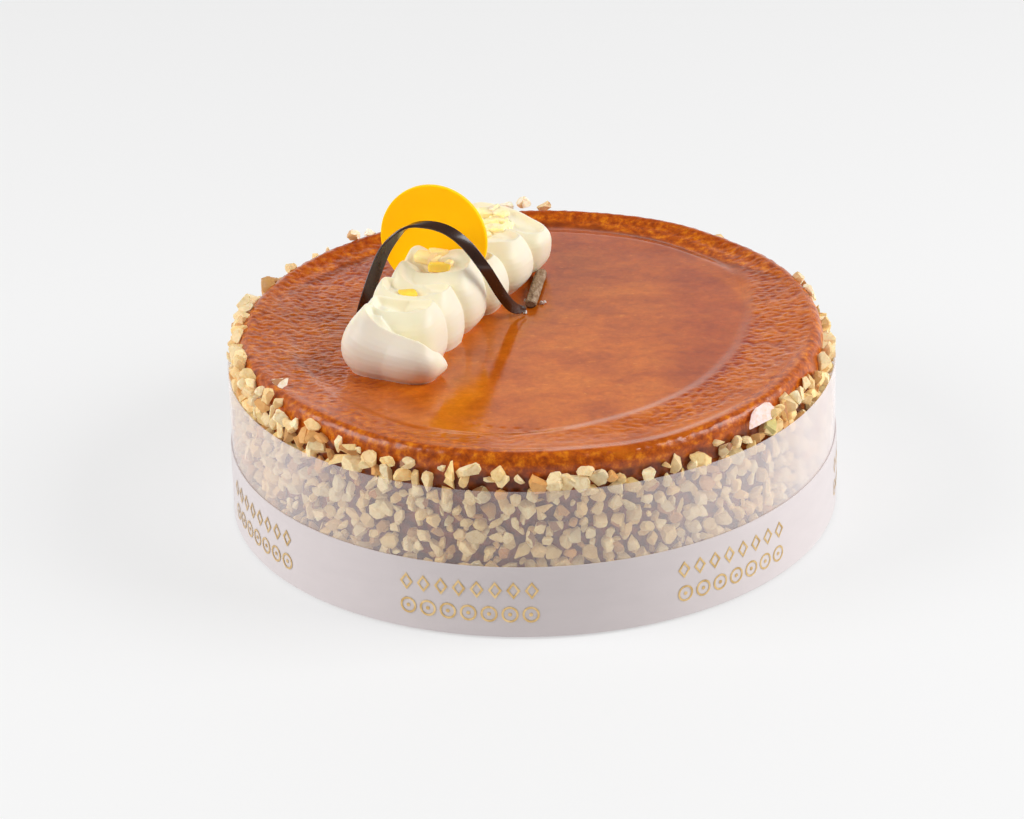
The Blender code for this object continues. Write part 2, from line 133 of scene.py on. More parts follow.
def ease(value, low, high):
    share = np.clip((value - low) / (high - low), 0, 1)
    return share * share * (3 - 2 * share)


def applied(obj):  # the mesh with its modifiers, in place of the old one
    graph = bpy.context.evaluated_depsgraph_get()
    mesh = bpy.data.meshes.new_from_object(obj.evaluated_get(graph))
    obj.modifiers.clear()
    obj.data = mesh
    return obj


def readVectors(items, name):
    values = np.empty(len(items) * 3)
    items.foreach_get(name, values)
    return values.reshape(-1, 3)


def paintPoints(obj, name, colours):
    layer = obj.data.color_attributes.new(name, "FLOAT_COLOR", "POINT")
    layer.data.foreach_set("color", np.asarray(colours, np.float32).ravel())


# small helpers for materials

def surface(roughness, specular=0.5, soft=None, glow=None, **others):
    settings = {"Roughness": roughness, "Specular IOR Level": specular}
    if soft:  # share, radius and scale of the light that goes in
        settings.update(zip(("Subsurface Weight", "Subsurface Radius", "Subsurface Scale"), soft))
    if glow:  # colour and strength
        settings.update({"Emission Color": (*glow[0], 1), "Emission Strength": glow[1]})
    return settings | {key.replace("_", " "): value for key, value in others.items()}


def newMaterial(name, settings):
    material = bpy.data.materials.new(name)
    material.use_nodes = True
    shader = material.node_tree.nodes["Principled BSDF"]
    for socket, value in settings.items():
        shader.inputs[socket].default_value = value
    return material, material.node_tree, shader


def addNode(tree, kind, settings=None, **links):
    node = tree.nodes.new(kind)
    for key, value in (settings or {}).items():
        if isinstance(key, str) and hasattr(node, key):
            setattr(node, key, value)
        else:
            node.inputs[key].default_value = value
    for key, source in links.items():
        tree.links.new(source, node.inputs[key.replace("_", " ")])
    return node


def noiseNode(tree, scale, detail=3.0, roughness=0.5, distortion=0.0, stretch=None):
    place = addNode(tree, "ShaderNodeTexCoord").outputs["Object"]
    if stretch:
        place = addNode(tree, "ShaderNodeMapping", {"Scale": stretch}, Vector=place).outputs["Vector"]
    settings = {"Scale": scale, "Detail": detail, "Roughness": roughness, "Distortion": distortion}
    return addNode(tree, "ShaderNodeTexNoise", settings, Vector=place).outputs["Fac"]


def painted(tree, name):  # a colour painted on the points
    return addNode(tree, "ShaderNodeAttribute", {"attribute_name": name}).outputs["Color"]


def rampNode(tree, factor, stops):
    ramp = addNode(tree, "ShaderNodeValToRGB", Fac=factor)
    elements = ramp.color_ramp.elements
    while len(elements) < len(stops):
        elements.new(0.5)
    for element, (position, colour) in zip(elements, stops):
        element.position = position
        element.color = (*colour, 1) if len(colour) == 3 else colour
    return ramp.outputs["Color"]


def mixColours(tree, factor, first, second, blend="MIX"):
    mix = addNode(tree, "ShaderNodeMix", {"data_type": "RGBA", "blend_type": blend})
    for socket, value in ((0, factor), (6, first), (7, second)):
        if isinstance(value, bpy.types.NodeSocket):
            tree.links.new(value, mix.inputs[socket])
        elif socket:
            mix.inputs[socket].default_value = (*value, 1)
        else:
            mix.inputs[socket].default_value = value
    return mix.outputs[2]


def bumpNode(tree, shader, height, distance, strength):
    bump = addNode(tree, "ShaderNodeBump", {"Strength": strength, "Distance": distance}, Height=height)
    feed(shader, bump.outputs["Normal"], "Normal")


def feed(shader, source, socket="Base Color"):
    shader.id_data.links.new(source, shader.inputs[socket])


def mapped(tree, value, fromRange, toRange=(0, 1), smooth=True):
    limits = {"From Min": fromRange[0], "From Max": fromRange[1], "To Min": toRange[0], "To Max": toRange[1]}
    if smooth:
        limits["interpolation_type"] = "SMOOTHSTEP"
    return addNode(tree, "ShaderNodeMapRange", limits, Value=value).outputs["Result"]


def mottledMaterial(name, settings, cloud, stops, colours, grain=None, bump=(), tones=None, share=1.0):
    # colours in clouds, or with tones a share of the clouds over the colours painted on the points
    material, tree, shader = newMaterial(name, settings)
    tone = painted(tree, tones) if tones else None
    colour = rampNode(tree, noiseNode(tree, *cloud), list(zip(stops, colours)))
    feed(shader, mixColours(tree, share, tone, colour, "MULTIPLY") if tones else colour)
    if grain:
        bumpNode(tree, shader, noiseNode(tree, *grain), *bump)
    return material


# cake body: glazed top, rim and side

cake = dict(
    profile=((0.0, 59.5), (64.0, 59.5), (72.0, 59.52), (80.0, 59.6), (84.0, 59.78), (87.0, 60.08),
             (88.6, 60.5), (90.0, 61.1), (91.2, 61.4), (92.5, 61.38), (94.1, 60.35), (95.2, 57.6),
             (95.5, 53.4), (95.3, 48.0)),  # radius and height, from the middle out and down the side
    footRadius=95.0, columns=1040, poolRings=22, rimPitch=0.46,
    # degrees from the front and radius: the inner edge of a low step, and where the orange crust starts
    ringEdge=((-180, 84), (-150, 82), (-120, 79), (-87, 74.8), (-66, 75), (-49, 75.2), (-27, 77), (-8, 75.5),
              (17, 69.8), (37, 67), (54, 65.6), (67, 65), (85, 66.5), (101, 70.4), (126, 81), (150, 83),
              (180, 84)),
    crustEdge=((-180, 86), (-150, 82.5), (-130, 83), (-105, 87), (-88, 82), (-73, 79.5), (-54, 77.5),
               (-46, 79), (-33, 85.5), (-24, 84), (-11, 86.5), (3, 91), (17, 93.6), (31, 93), (38, 90.5),
               (50, 87.2), (62, 86.6), (73, 89), (90, 92), (105, 91), (120, 84), (135, 80.5), (150, 82),
               (165, 85.5), (180, 86)),
    ringRise=0.78, ringWidth=5.0,
    wander=((0.45, 2, 0.6), (0.3, 3, 2.1), (0.18, 7, 0.0), (0.12, 13, 1.0)),  # waves: height, number, start
    # wrinkles: the squeeze from side to side (under 1 they are longer), what is added at the left, the slant,
    # and the bend with the length it takes
    wrinkleDepth=0.21, wrinklePitch=1.2, wrinkleAcross=(0.56, 0.06), wrinkleSlant=0.1, wrinkleBend=(2.2, 23),
    poolDepth=0.02, poolPitch=7.0, poolAcross=0.6,
    backWall=0.8, backRise=0.3,  # the rim behind stands steeper over the pool, and higher
    lumpDepth=0.3, lumpPitch=2.6, raggedness=1.6, raggedPitch=5.5,
    pits=((-47.9, -56.9, 0.7, 0.25), (-44.6, -58.2, 0.5, 0.2), (-14.0, -70.5, 0.7, 0.22),
          (-9.5, -71.8, 0.6, 0.25), (-5.0, -72.6, 0.8, 0.22), (-2.2, -75.4, 0.6, 0.25),
          (-17.5, -68.2, 0.5, 0.2), (1.5, -73.6, 0.5, 0.2)),  # x, y, size, depth
)
# radii between which a form of the top comes in or fades, and the glaze's other ranges
zones = dict(
    behind=(0.1, 0.75),  # the back of the cake: y as a share of the radius
    lift=(70, 88), stepEnd=(86, 91.2), wallFoot=(78, 83), wallTop=(87, 92.2), backRise=(86, 92),
    calmFront=(12, 40), calmBack=(125, 165), farSide=(62, 85),  # degrees from the front
    leftPatch=((34, 56), (-60, -36), (40, 60)),  # -x, y and radius: wrinkles on the pool at the left
    pastStep=(2.5, 6), wrinkleStop=84, farStop=6, wrinkleFade=4, wrinkleEnd=(91, 94),
    lumps=(91.5, 93.5), poolEnd=(88, 94),
    crustFade=1.6, crustPatches=(-0.2, 0.25), leftCrust=((20, 50), (90, 92.5)),
    backBare=((90, 91.6), (93.4, 94.6)),  # the crust is thin on top of the rim behind
    # side: heights over which the painted shade of the low side fades out
    side=(53.6, 56.2), right=((30, 60), (70, 76)), backDeep=(5, 75),
    shoulder=50, patches=74, relief=(57, 95),  # height from which there is crust, radius of patches, the top
)
# how strongly a colour zone shows
zoneShares = dict(leftBare=0.5, backBare=0.85, backFootShade=0.6, right=0.6, back=0.5, valleys=0.6)
glazeLook = dict(
    deep=(0.44, 0.084, 0.005), warm=(0.56, 0.122, 0.006), bright=(0.65, 0.165, 0.009),
    fleck=(0.74, 0.24, 0.03), deepTint=(0.56, 0.24, 0.30), grain=((0.84, 0.80, 0.80), (1.12, 1.16, 1.16)),
    crustDark=(0.27, 0.040, 0.002), crust=(0.50, 0.096, 0.002), crustBright=(0.80, 0.25, 0.008),
    crustPaintedGlow=0.04, sideShadeDark=(0.13, 0.022, 0.006), sideShadeWarm=(0.36, 0.075, 0.008),
    roughness=0.11, crustRoughness=0.3, ior=1.46,
)


def rimWander(angle):
    return sum(size * np.sin(times * angle + start) for size, times, start in cake["wander"])


def makeGlaze():
    look = glazeLook
    settings = surface(look["roughness"], soft=(0.12, (1.0, 0.35, 0.08), 0.004), IOR=look["ior"],
                       Emission_Strength=look["crustPaintedGlow"])
    material, tree, shader = newMaterial("orangeGlaze", settings)
    cloud = noiseNode(tree, 55, 4, 0.6, 0.4, (1, 1.6, 1))
    colour = rampNode(tree, cloud, ((0.32, look["deep"]), (0.5, look["warm"]), (0.72, look["bright"])))
    speckle = noiseNode(tree, 520, 2, 0.6, 0.0, (0.6, 1, 1))
    flecks = rampNode(tree, speckle, ((0.64, (0, 0, 0)), (0.76, (0.6,) * 3)))
    colour = mixColours(tree, flecks, colour, look["fleck"])
    zone = addNode(tree, "ShaderNodeSeparateColor", Color=painted(tree, "glazeZone"))
    crustShare, sideShadeShare, deepShare = (zone.outputs[i] for i in range(3))
    depth = mixColours(tree, deepShare, (1, 1, 1), look["deepTint"])
    colour = mixColours(tree, 1.0, colour, depth, "MULTIPLY")
    grain = rampNode(tree, noiseNode(tree, 330, 3, 0.7), list(zip((0.3, 0.7), look["grain"])))
    colour = mixColours(tree, 1.0, colour, grain, "MULTIPLY")
    crust = rampNode(tree, noiseNode(tree, 360, 4, 0.7), (
        (0.35, look["crustDark"]), (0.52, look["crust"]), (0.70, look["crustBright"])))
    colour = mixColours(tree, crustShare, colour, crust)
    # painted shade: dark red-brown on the low side between the nuts and at the back wall's foot
    side = rampNode(tree, noiseNode(tree, 300, 3, 0.6), ((0.4, look["sideShadeDark"]), (0.66, look["sideShadeWarm"])))
    colour = mixColours(tree, sideShadeShare, colour, side)
    feed(shader, colour)
    inner = mixColours(tree, crustShare, (0, 0, 0), crust)  # painted glow: the crust gives out its own colour as light
    feed(shader, mixColours(tree, sideShadeShare, inner, (0, 0, 0)), "Emission Color")
    rough = mapped(tree, crustShare, (0, 1), (look["roughness"], look["crustRoughness"]))
    feed(shader, rough, "Roughness")
    bumpNode(tree, shader, noiseNode(tree, 700, 3, 0.55, 0.0, (0.45, 1, 1)), 0.00009, 0.4)
    return material


def cakeProfile():
    outline = smoothRoute(cake["profile"][1:], 40)
    steps = np.hypot(*np.diff(outline, axis=0).T)
    along = np.concatenate([[0], np.cumsum(steps)])
    count = int(along[-1] / cake["rimPitch"])
    even = np.linspace(0, along[-1], count)
    rim = np.stack([np.interp(even, along, outline[:, 0]), np.interp(even, along, outline[:, 1])], 1)
    edge = cake["profile"][1][0]
    pool = [(edge * (i / cake["poolRings"]), rim[0, 1]) for i in range(1, cake["poolRings"])]
    below = [(cake["footRadius"] + 0.1, 30.0), (cake["footRadius"], 1.0), (cake["footRadius"] - 0.8, 0.0)]
    return np.array([*pool, *rim, *below])


def fade(value, low, high):
    return 1 - ease(value, low, high)


def roughness(place, finer):  # noise in two sizes
    return noise.noise(place) + 0.5 * noise.noise(place * finer)


def surfaceRelief(x, y, radius, angle):
    # a low step, fine wrinkles outside it and at the left, a mottled shoulder, slow waves on the pool
    away = np.abs(np.degrees(angle))  # from the front
    behind = ease(np.cos(angle + math.pi), *zones["behind"])
    pastStep = radius - np.interp(np.degrees(angle), *zip(*cake["ringEdge"]))
    relief = cake["ringRise"] * ease(pastStep, 0, cake["ringWidth"]) * fade(radius, *zones["stepEnd"])
    relief -= cake["backWall"] * behind * ease(radius, *zones["wallFoot"]) * fade(radius, *zones["wallTop"])
    relief += cake["backRise"] * behind * ease(radius, *zones["backRise"])
    calm = ease(away, *zones["calmFront"]) * (1 - 0.3 * ease(away, *zones["calmBack"]))
    leftX, leftY, leftRadius = zones["leftPatch"]
    leftPatch = ease(-x, *leftX) * ease(y, *leftY) * ease(radius, *leftRadius)
    stop = zones["wrinkleStop"] + zones["farStop"] * ease(away, *zones["farSide"])  # further in at the front
    outer = ease(pastStep, *zones["pastStep"]) * fade(radius, stop, stop + zones["wrinkleFade"])
    wrinkles = cake["wrinkleDepth"] * (0.5 + 0.5 * calm) * np.maximum(outer, leftPatch)
    wrinkles = wrinkles * fade(radius, *zones["wrinkleEnd"])
    lumps = cake["lumpDepth"] * ease(radius, *zones["lumps"])
    pool = cake["poolDepth"] * fade(radius, *zones["poolEnd"])
    valley = np.zeros(len(x))
    pitch, poolPitch, lumpPitch = cake["wrinklePitch"], cake["poolPitch"], cake["lumpPitch"]
    (squeeze, leftSqueeze), (bend, bendPitch) = cake["wrinkleAcross"], cake["wrinkleBend"]
    for i, (px, py, w, l, p, left) in enumerate(zip(x, y, wrinkles, lumps, pool, leftPatch)):
        if w > 0.004:
            swerve = bend * noise.noise(Vector((px / bendPitch, py / bendPitch, 8.1)))
            across = px / pitch * (squeeze + leftSqueeze * left)
            place = Vector((across, py / pitch + swerve - px / pitch * cake["wrinkleSlant"], 3.7))
            height = roughness(place, 2.1)
            relief[i] += w * (1 + 0.3 * left) * height
            valley[i] = w / cake["wrinkleDepth"] * min(max(-height * 2.2, -0.2), 1)
        if l > 0.004:
            place = Vector((px / lumpPitch, py / lumpPitch, radius[i] / lumpPitch))
            relief[i] += l * roughness(place, 2.3)
        if p > 0.001:
            relief[i] += p * noise.noise(Vector((px / poolPitch * cake["poolAcross"], py / poolPitch, 1.3)))
    for px, py, size, depth in cake["pits"]:
        relief -= depth * np.exp(-((x - px) ** 2 + (1.6 * (y - py)) ** 2) / (2 * size * size))
    return relief, valley


def glazeZones(points, radius, behind, valley):  # shares of crust, of painted shade on the low side and at the back wall's foot, and of a darker, redder colour at the back, the right and in wrinkle valleys
    x, y, height = points.T
    patchy = np.zeros(len(points))
    for i in np.nonzero((height > zones["shoulder"]) & (radius > zones["patches"]))[0]:
        patchy[i] = roughness(Vector(points[i] / cake["raggedPitch"]), 2.7)
    ragged = patchy * cake["raggedness"]
    edge = np.interp(np.degrees(np.arctan2(x, -y)), *zip(*cake["crustEdge"]))
    outward = radius + ragged
    leftX, leftRadius = zones["leftCrust"]
    inside = ease(-x, *leftX) * fade(radius, *leftRadius)  # only patches of crust at the left
    shares = zoneShares
    crust = ease(outward, edge, edge + zones["crustFade"]) * (height > zones["shoulder"])
    crust = crust * (1 - shares["leftBare"] * inside * fade(patchy, *zones["crustPatches"]))
    bareFrom, bareTo = zones["backBare"]
    crust = crust * (1 - shares["backBare"] * behind * ease(outward, *bareFrom) * fade(radius, *bareTo))
    # painted shadow: a dark strip at the foot of the back wall
    foot = behind * ease(outward, edge - 3, edge - 1) * fade(outward, edge, edge + 1.5)
    side = np.maximum(fade(height + ragged, *zones["side"]), shares["backFootShade"] * foot)
    rightX, rightRadius = zones["right"]
    right = shares["right"] * ease(x, *rightX) * fade(radius, *rightRadius)
    deep = np.maximum(shares["back"] * ease(y, *zones["backDeep"]), right) + shares["valleys"] * valley
    return np.stack([crust, side, deep, np.ones(len(points))], 1)


def makeCake(material):
    profile = cakeProfile()
    columns = cake["columns"]
    radius = np.repeat(profile[:, 0], columns)
    height = np.repeat(profile[:, 1], columns)
    turn = np.tile(fullTurn(columns), len(profile))
    share = ease(radius, *zones["lift"]) * (height > zones["shoulder"])
    lift = rimWander(turn) * share
    radius = radius - lift / 3
    height = height + lift
    x, y = radius * np.cos(turn), radius * np.sin(turn)
    front = np.arctan2(x, -y)
    lowest, widest = zones["relief"]
    top = (height > lowest) & (radius < widest)
    relief, valley = surfaceRelief(x[top], y[top], radius[top], front[top])
    height[top] += relief
    valleys = np.zeros(len(x) + 1)
    valleys[:-1][top] = valley
    points = np.vstack([np.stack([x, y, height], 1), [(0, 0, profile[0, 1])]])
    faces = [face[::-1] for face in gridFaces(len(profile), columns)]
    faces += fan(len(points) - 1, 0, columns)
    last = (len(profile) - 1) * columns
    faces.append(tuple(last + i for i in reversed(range(columns))))
    obj = makeMesh("cakeBody", points, faces, material)
    behind = ease(points[:, 1] / np.maximum(np.hypot(points[:, 0], points[:, 1]), 1), *zones["behind"])
    paintPoints(obj, "glazeZone", glazeZones(points, np.append(radius, 0), behind, valleys))
    return dress(obj, "cake_glaze", "cake")


glaze = makeGlaze()
cakeBody = makeCake(glaze)
print("cake body:", len(cakeBody.data.polygons), "faces")


# chopped nuts: a close coat behind the film, and loose rows over it

nuts = dict(
    seed=11, kinds=40, cuts=(6, 10), cutDepth=(0.32, 0.78), blunt=0.05, merge=0.04, jitter=0.015,
    width=(0.68, 1.0), thickness=(0.5, 0.9), sliver=(1.15, 0.45, 0.36), sliverShare=0.1, pressed=0.5,
    # the coat behind the film, and smaller nuts that fill it; how far each moves off its even place, and how
    # far under the film's top each layer ends
    coatSize=(4.8, 8.4), coatBottom=19.0, coatUnder=1.0, coatRadius=97.2,
    fillSize=(3.2, 5.4), fillBottom=21.2, fillUnder=2.0, fillRadius=96.0,
    coatPitch=(5.3, 4.9), coatStray=(0.28, 1.1), coatLimit=98.75,
    # the rows over it: where they start on the side, and the first row from there; how far a nut moves off,
    # how far out of the glaze its middle stands, gaps left, and how far under the film's top a nut may go
    topPitch=(4.5, 3.5), topSize=(5.6, 9.2), topLimit=99.3, topStart=51.8, topFirst=0.9, topRows=6,
    topStray=(0.3, 1.0), topStand=(0.12, 0.3), topGaps=0.07, topUnder=2.5,
    # how far up and over the rim the nuts reach, by the angle from the front, + to the right; how much that
    # wavers, and how far short of it the middle of the last nut stays
    raggedReach=(-2.2, 1.6), shortOf=3,
    reach=((-180, 8.8), (-150, 9.2), (-125, 9.6), (-100, 11), (-65, 12.4), (-40, 10.5), (-22, 8.4), (0, 6.8),
           (22, 6.8), (40, 7.6), (58, 9.2), (92, 8.4), (112, 7.4), (130, 7.2), (180, 8.8)),
)
nutTones = dict(
    pale=((0.97, 0.83, 0.55), (0.95, 0.74, 0.42), (0.93, 0.66, 0.31), (0.96, 0.79, 0.48), (0.95, 0.70, 0.33)),
    tan=(0.62, 0.31, 0.09), tanShare=0.1, skin=((0.50, 0.19, 0.035), (0.27, 0.085, 0.02)), skinShare=0.14,
    underFilmShade=(0.85, 0.86, 0.78),  # painted shade: darker and greener behind the film
    grain=((0.80, 0.66, 0.46), (1, 1, 1)),
)


def chipKinds(draw, divisions, count):
    # each kind is a ball with parts cut off by random planes: what stays round keeps the skin
    kinds = []
    for _ in range(count):
        chip = bmesh.new()
        bmesh.ops.create_icosphere(chip, subdivisions=divisions, radius=1)
        for _ in range(draw.integers(*nuts["cuts"])):
            side = Vector(draw.normal(size=3)).normalized()
            place = side * draw.uniform(*nuts["cutDepth"])
            whole = chip.verts[:] + chip.edges[:] + chip.faces[:]
            cut = bmesh.ops.bisect_plane(chip, geom=whole, plane_co=place, plane_no=side, clear_outer=True)
            rim = [edge for edge in cut["geom_cut"] if isinstance(edge, bmesh.types.BMEdge)]
            if rim:
                for face in bmesh.ops.contextual_create(chip, geom=rim)["faces"]:
                    face.material_index = 1
        bmesh.ops.remove_doubles(chip, verts=chip.verts[:], dist=nuts["merge"])
        edges = [edge for edge in chip.edges if any(face.material_index for face in edge.link_faces)]
        bmesh.ops.bevel(chip, geom=edges, offset=nuts["blunt"], segments=1, affect="EDGES", profile=0.5,
                        clamp_overlap=True, material=2)
        bmesh.ops.triangulate(chip, faces=chip.faces[:])
        points = np.array([vertex.co for vertex in chip.verts])
        points -= (points.max(0) + points.min(0)) / 2
        points /= 2 * np.linalg.norm(points, axis=1).max()
        points += draw.normal(0, nuts["jitter"], points.shape)
        faces = np.array([[vertex.index for vertex in face.verts] for face in chip.faces])
        onSkin = np.array([any(face.material_index == 0 for face in v.link_faces) for v in chip.verts])
        kinds.append((points, faces, onSkin))
        chip.free()
    return kinds


def randomTurns(draw, count):  # rotation matrices from random quaternions
    q = draw.normal(size=(count, 4))
    w, x, y, z = (q / np.linalg.norm(q, axis=1, keepdims=True)).T
    rows = ((1 - 2 * (y * y + z * z), 2 * (x * y - z * w), 2 * (x * z + y * w)),
            (2 * (x * y + z * w), 1 - 2 * (x * x + z * z), 2 * (y * z - x * w)),
            (2 * (x * z - y * w), 2 * (y * z + x * w), 1 - 2 * (x * x + y * y)))
    return np.array(rows).transpose(2, 0, 1)


def nutColours(draw, onSkin, tint):
    tone = np.array(nutTones["pale"][draw.integers(len(nutTones["pale"]))]) * draw.uniform(0.80, 1.08)
    if draw.random() < nutTones["tanShare"]:
        tone = np.array(nutTones["tan"]) * draw.uniform(0.8, 1.2)
    colours = np.tile(tone, (len(onSkin), 1))
    if draw.random() < nutTones["skinShare"]:
        colours[onSkin] = nutTones["skin"][draw.integers(len(nutTones["skin"]))]
    return np.clip(np.column_stack([colours * tint, np.ones(len(onSkin))]), 0, 1)


def heapMesh(name, pieces, material, layer="nutTone"):  # one mesh of pieces: points, faces, colours of each
    starts = np.cumsum([0] + [len(points) for points, _, _ in pieces[:-1]])
    faces = np.concatenate([corners + start for (_, corners, _), start in zip(pieces, starts)])
    obj = makeMesh(name, np.concatenate([points for points, _, _ in pieces]), faces, material, sharp=30)
    paintPoints(obj, layer, np.concatenate([colours for _, _, colours in pieces]))
    return obj


def scatterNuts(name, draw, places, limit, divisions, material, tint=(1, 1, 1), floor=None):
    kinds = chipKinds(draw, divisions, nuts["kinds"])
    pieces = []
    for centre, out, size, turn in zip(*places, randomTurns(draw, len(places[0]))):
        shape, corners, onSkin = kinds[draw.integers(len(kinds))]
        stretch = (1, draw.uniform(*nuts["width"]), draw.uniform(*nuts["thickness"]))
        if draw.random() < nuts["sliverShare"]:
            stretch = nuts["sliver"]
        points = centre + (shape * stretch * size) @ turn.T
        over = np.hypot(points[:, 0], points[:, 1]).max() - limit - nuts["pressed"]
        points -= out * max(over, 0)  # pushed in, then pressed flat against the film
        points[:, :2] *= np.minimum(1, limit / np.hypot(points[:, 0], points[:, 1]))[:, None]
        if floor is not None:
            points[:, 2] = np.maximum(points[:, 2], floor)
        pieces.append((points, corners, nutColours(draw, onSkin, tint)))
    return heapMesh(name, pieces, material)


def coatPlaces(draw, size, low, high, radius, offset):
    pitch = nuts["coatPitch"]
    rows = int((high - low) / pitch[1])
    columns = int(2 * math.pi * radius / pitch[0])
    row, column = np.meshgrid(np.arange(rows + 1), np.arange(columns), indexing="ij")
    row, column = row.ravel(), column.ravel()
    aside, upward = nuts["coatStray"]
    turn = (column + 0.5 * (row % 2) + offset + draw.uniform(-aside, aside, len(row))) * 2 * math.pi / columns
    height = low + row * pitch[1] + draw.uniform(-upward, upward, len(row))
    out = np.stack([np.sin(turn), -np.cos(turn), np.zeros(len(row))], 1)
    centres = out * radius
    centres[:, 2] = height
    return centres, out, draw.uniform(*size, len(row))


def rimPath():  # radius, height and outward lean along the side and over the rim, from the film's top
    outline = smoothRoute([p for p in cake["profile"] if p[0] > 84][::-1], 30)
    outline = outline[outline[:, 1] > nuts["topStart"] - 0.01]
    along = np.concatenate([[0], np.cumsum(np.hypot(*np.diff(outline, axis=0).T))])
    slope = np.gradient(outline, axis=0)
    lean = np.arctan2(-slope[:, 0], slope[:, 1])
    return along, outline[:, 0], outline[:, 1], lean


def topPlaces(draw):
    along, radii, heights, leans = rimPath()
    angles, reaches = zip(*nuts["reach"])
    columns = int(2 * math.pi * cake["footRadius"] / nuts["topPitch"][0])
    aside, upward = nuts["topStray"]
    centres, outs, sizes = [], [], []
    for row in range(nuts["topRows"]):
        for column in range(columns):
            turn = (column + 0.5 * (row % 2) + draw.uniform(-aside, aside)) / columns * 360 - 180
            size = draw.uniform(*nuts["topSize"])
            s = nuts["topFirst"] + row * nuts["topPitch"][1] + draw.uniform(-upward, upward)
            reach = np.interp(turn, angles, reaches) + draw.uniform(*nuts["raggedReach"])
            if s > reach - nuts["shortOf"] or draw.random() < nuts["topGaps"]:
                continue
            radius, height, lean = (np.interp(s, along, v) for v in (radii, heights, leans))
            a = math.radians(turn)
            out = np.array([math.sin(a) * math.cos(lean), -math.cos(a) * math.cos(lean), math.sin(lean)])
            foot = np.array([math.sin(a) * radius, -math.cos(a) * radius, height])
            foot[2] += rimWander(a - math.pi / 2) * ease(radius, 96, 92)
            centres.append(foot + out * size * draw.uniform(*nuts["topStand"]))
            outs.append(out)
            sizes.append(size)
    return np.array(centres), np.array(outs), np.array(sizes)


def makeNuts():
    # painted glow: the nuts give out a little warm light of their own
    settings = surface(0.45, 0.35, (0.25, (1.0, 0.6, 0.3), 0.0016), ((1.0, 0.68, 0.34), 0.09))
    material = mottledMaterial("choppedNut", settings, (700, 4, 0.65), (0.3, 0.56), nutTones["grain"],
                               (800, 3, 0.6), (0.00025, 0.5), "nutTone", 0.75)
    draw = np.random.default_rng(nuts["seed"])
    places = []
    for layer, offset in (("coat", 0.0), ("fill", 0.5)):
        size, low, under, radius = (nuts[layer + key] for key in ("Size", "Bottom", "Under", "Radius"))
        places.append(coatPlaces(draw, size, low, filmTop - under, radius, offset))
    coat = [np.concatenate(part) for part in zip(*places)]
    behind = scatterNuts("nutCoat", draw, coat, nuts["coatLimit"], 1, material, nutTones["underFilmShade"])
    floor = filmTop - nuts["topUnder"]
    above = scatterNuts("rimNuts", draw, topPlaces(draw), nuts["topLimit"], 2, material, floor=floor)
    for obj in (behind, above):
        dress(obj, "cake_glaze", "cake")
    print("nuts:", len(behind.data.polygons), "and", len(above.data.polygons), "faces")
    return material


# single pieces that stand out: a pink shred, a green sliver and a skin on the rim, a shred on the glaze, and
# seven nuts on the rim at the back and the right; angle from the front, radius, height, lean of the flat side
# upwards, turn in its plane, size, tone of the cut sides and of the skin
flakes = (
    (47.4, 96.8, 58.0, 36, 12, (15.0, 6.4, 1.2), (0.88, 0.68, 0.66), (0.84, 0.60, 0.58)),
    (49.0, 98.2, 54.4, 20, 60, (6.4, 5.2, 2.6), (0.55, 0.49, 0.17), (0.10, 0.09, 0.05)),
    (54.0, 97.6, 56.4, 30, 75, (8.4, 3.8, 2.4), (0.86, 0.55, 0.22), (0.45, 0.17, 0.04)),
    (-62.8, 90.4, 62.4, 50, 20, (8.8, 4.4, 1.2), (0.94, 0.82, 0.68), (0.40, 0.15, 0.05)),
    (-141.6, 95.6, 61.6, 40, 20, (6.6, 4.6, 4.2), (1.0, 0.90, 0.70), (0.72, 0.43, 0.20)),
    (-145.5, 95.9, 60.6, 35, 70, (5.2, 4.2, 3.8), (1.0, 0.92, 0.74), (1.0, 0.92, 0.74)),
    (-175.1, 94.6, 62.6, 50, 10, (6.0, 4.6, 4.0), (1.0, 0.93, 0.76), (1.0, 0.93, 0.76)),
    (-179.1, 94.8, 63.4, 50, 60, (6.4, 4.8, 4.4), (1.0, 0.93, 0.76), (0.90, 0.68, 0.42)),
    (176.6, 96.0, 61.8, 40, 30, (4.6, 3.6, 3.2), (0.90, 0.66, 0.38), (0.62, 0.33, 0.14)),
    (109.4, 94.8, 60.9, 40, 10, (5.2, 4.2, 3.8), (0.93, 0.78, 0.55), (0.70, 0.42, 0.20)),
    (103.8, 95.0, 60.6, 40, 50, (4.8, 4.2, 3.6), (0.93, 0.80, 0.60), (0.93, 0.80, 0.60)),
)


def makeFlakes(material):
    draw = np.random.default_rng(nuts["seed"] + 1)
    pieces = []
    for flake, (shape, corners, onSkin) in zip(flakes, chipKinds(draw, 2, len(flakes))):
        angle, radius, height, lean, turn, size, tone, skin = flake
        a, lean, turn = (math.radians(degrees) for degrees in (angle, lean, turn))
        out = np.array((math.sin(a), -math.cos(a), 0))
        across = np.array((math.cos(a), math.sin(a), 0))
        up = np.array((0, 0, 1))
        normal = out * math.cos(lean) + up * math.sin(lean)
        rise = np.cross(normal, across)
        long = across * math.cos(turn) + rise * math.sin(turn)
        axes = np.stack([long, np.cross(normal, long), normal])
        centre = out * radius + up * height
        colours = np.where(onSkin[:, None], skin, tone)
        fitted = shape / (shape.max(0) - shape.min(0)) * size
        pieces.append((centre + fitted @ axes, corners, np.column_stack([colours, np.ones(len(shape))])))
    return dress(heapMesh("rimFlakes", pieces, material), "cake_glaze")


nutMaterial = makeNuts()
makeFlakes(nutMaterial)
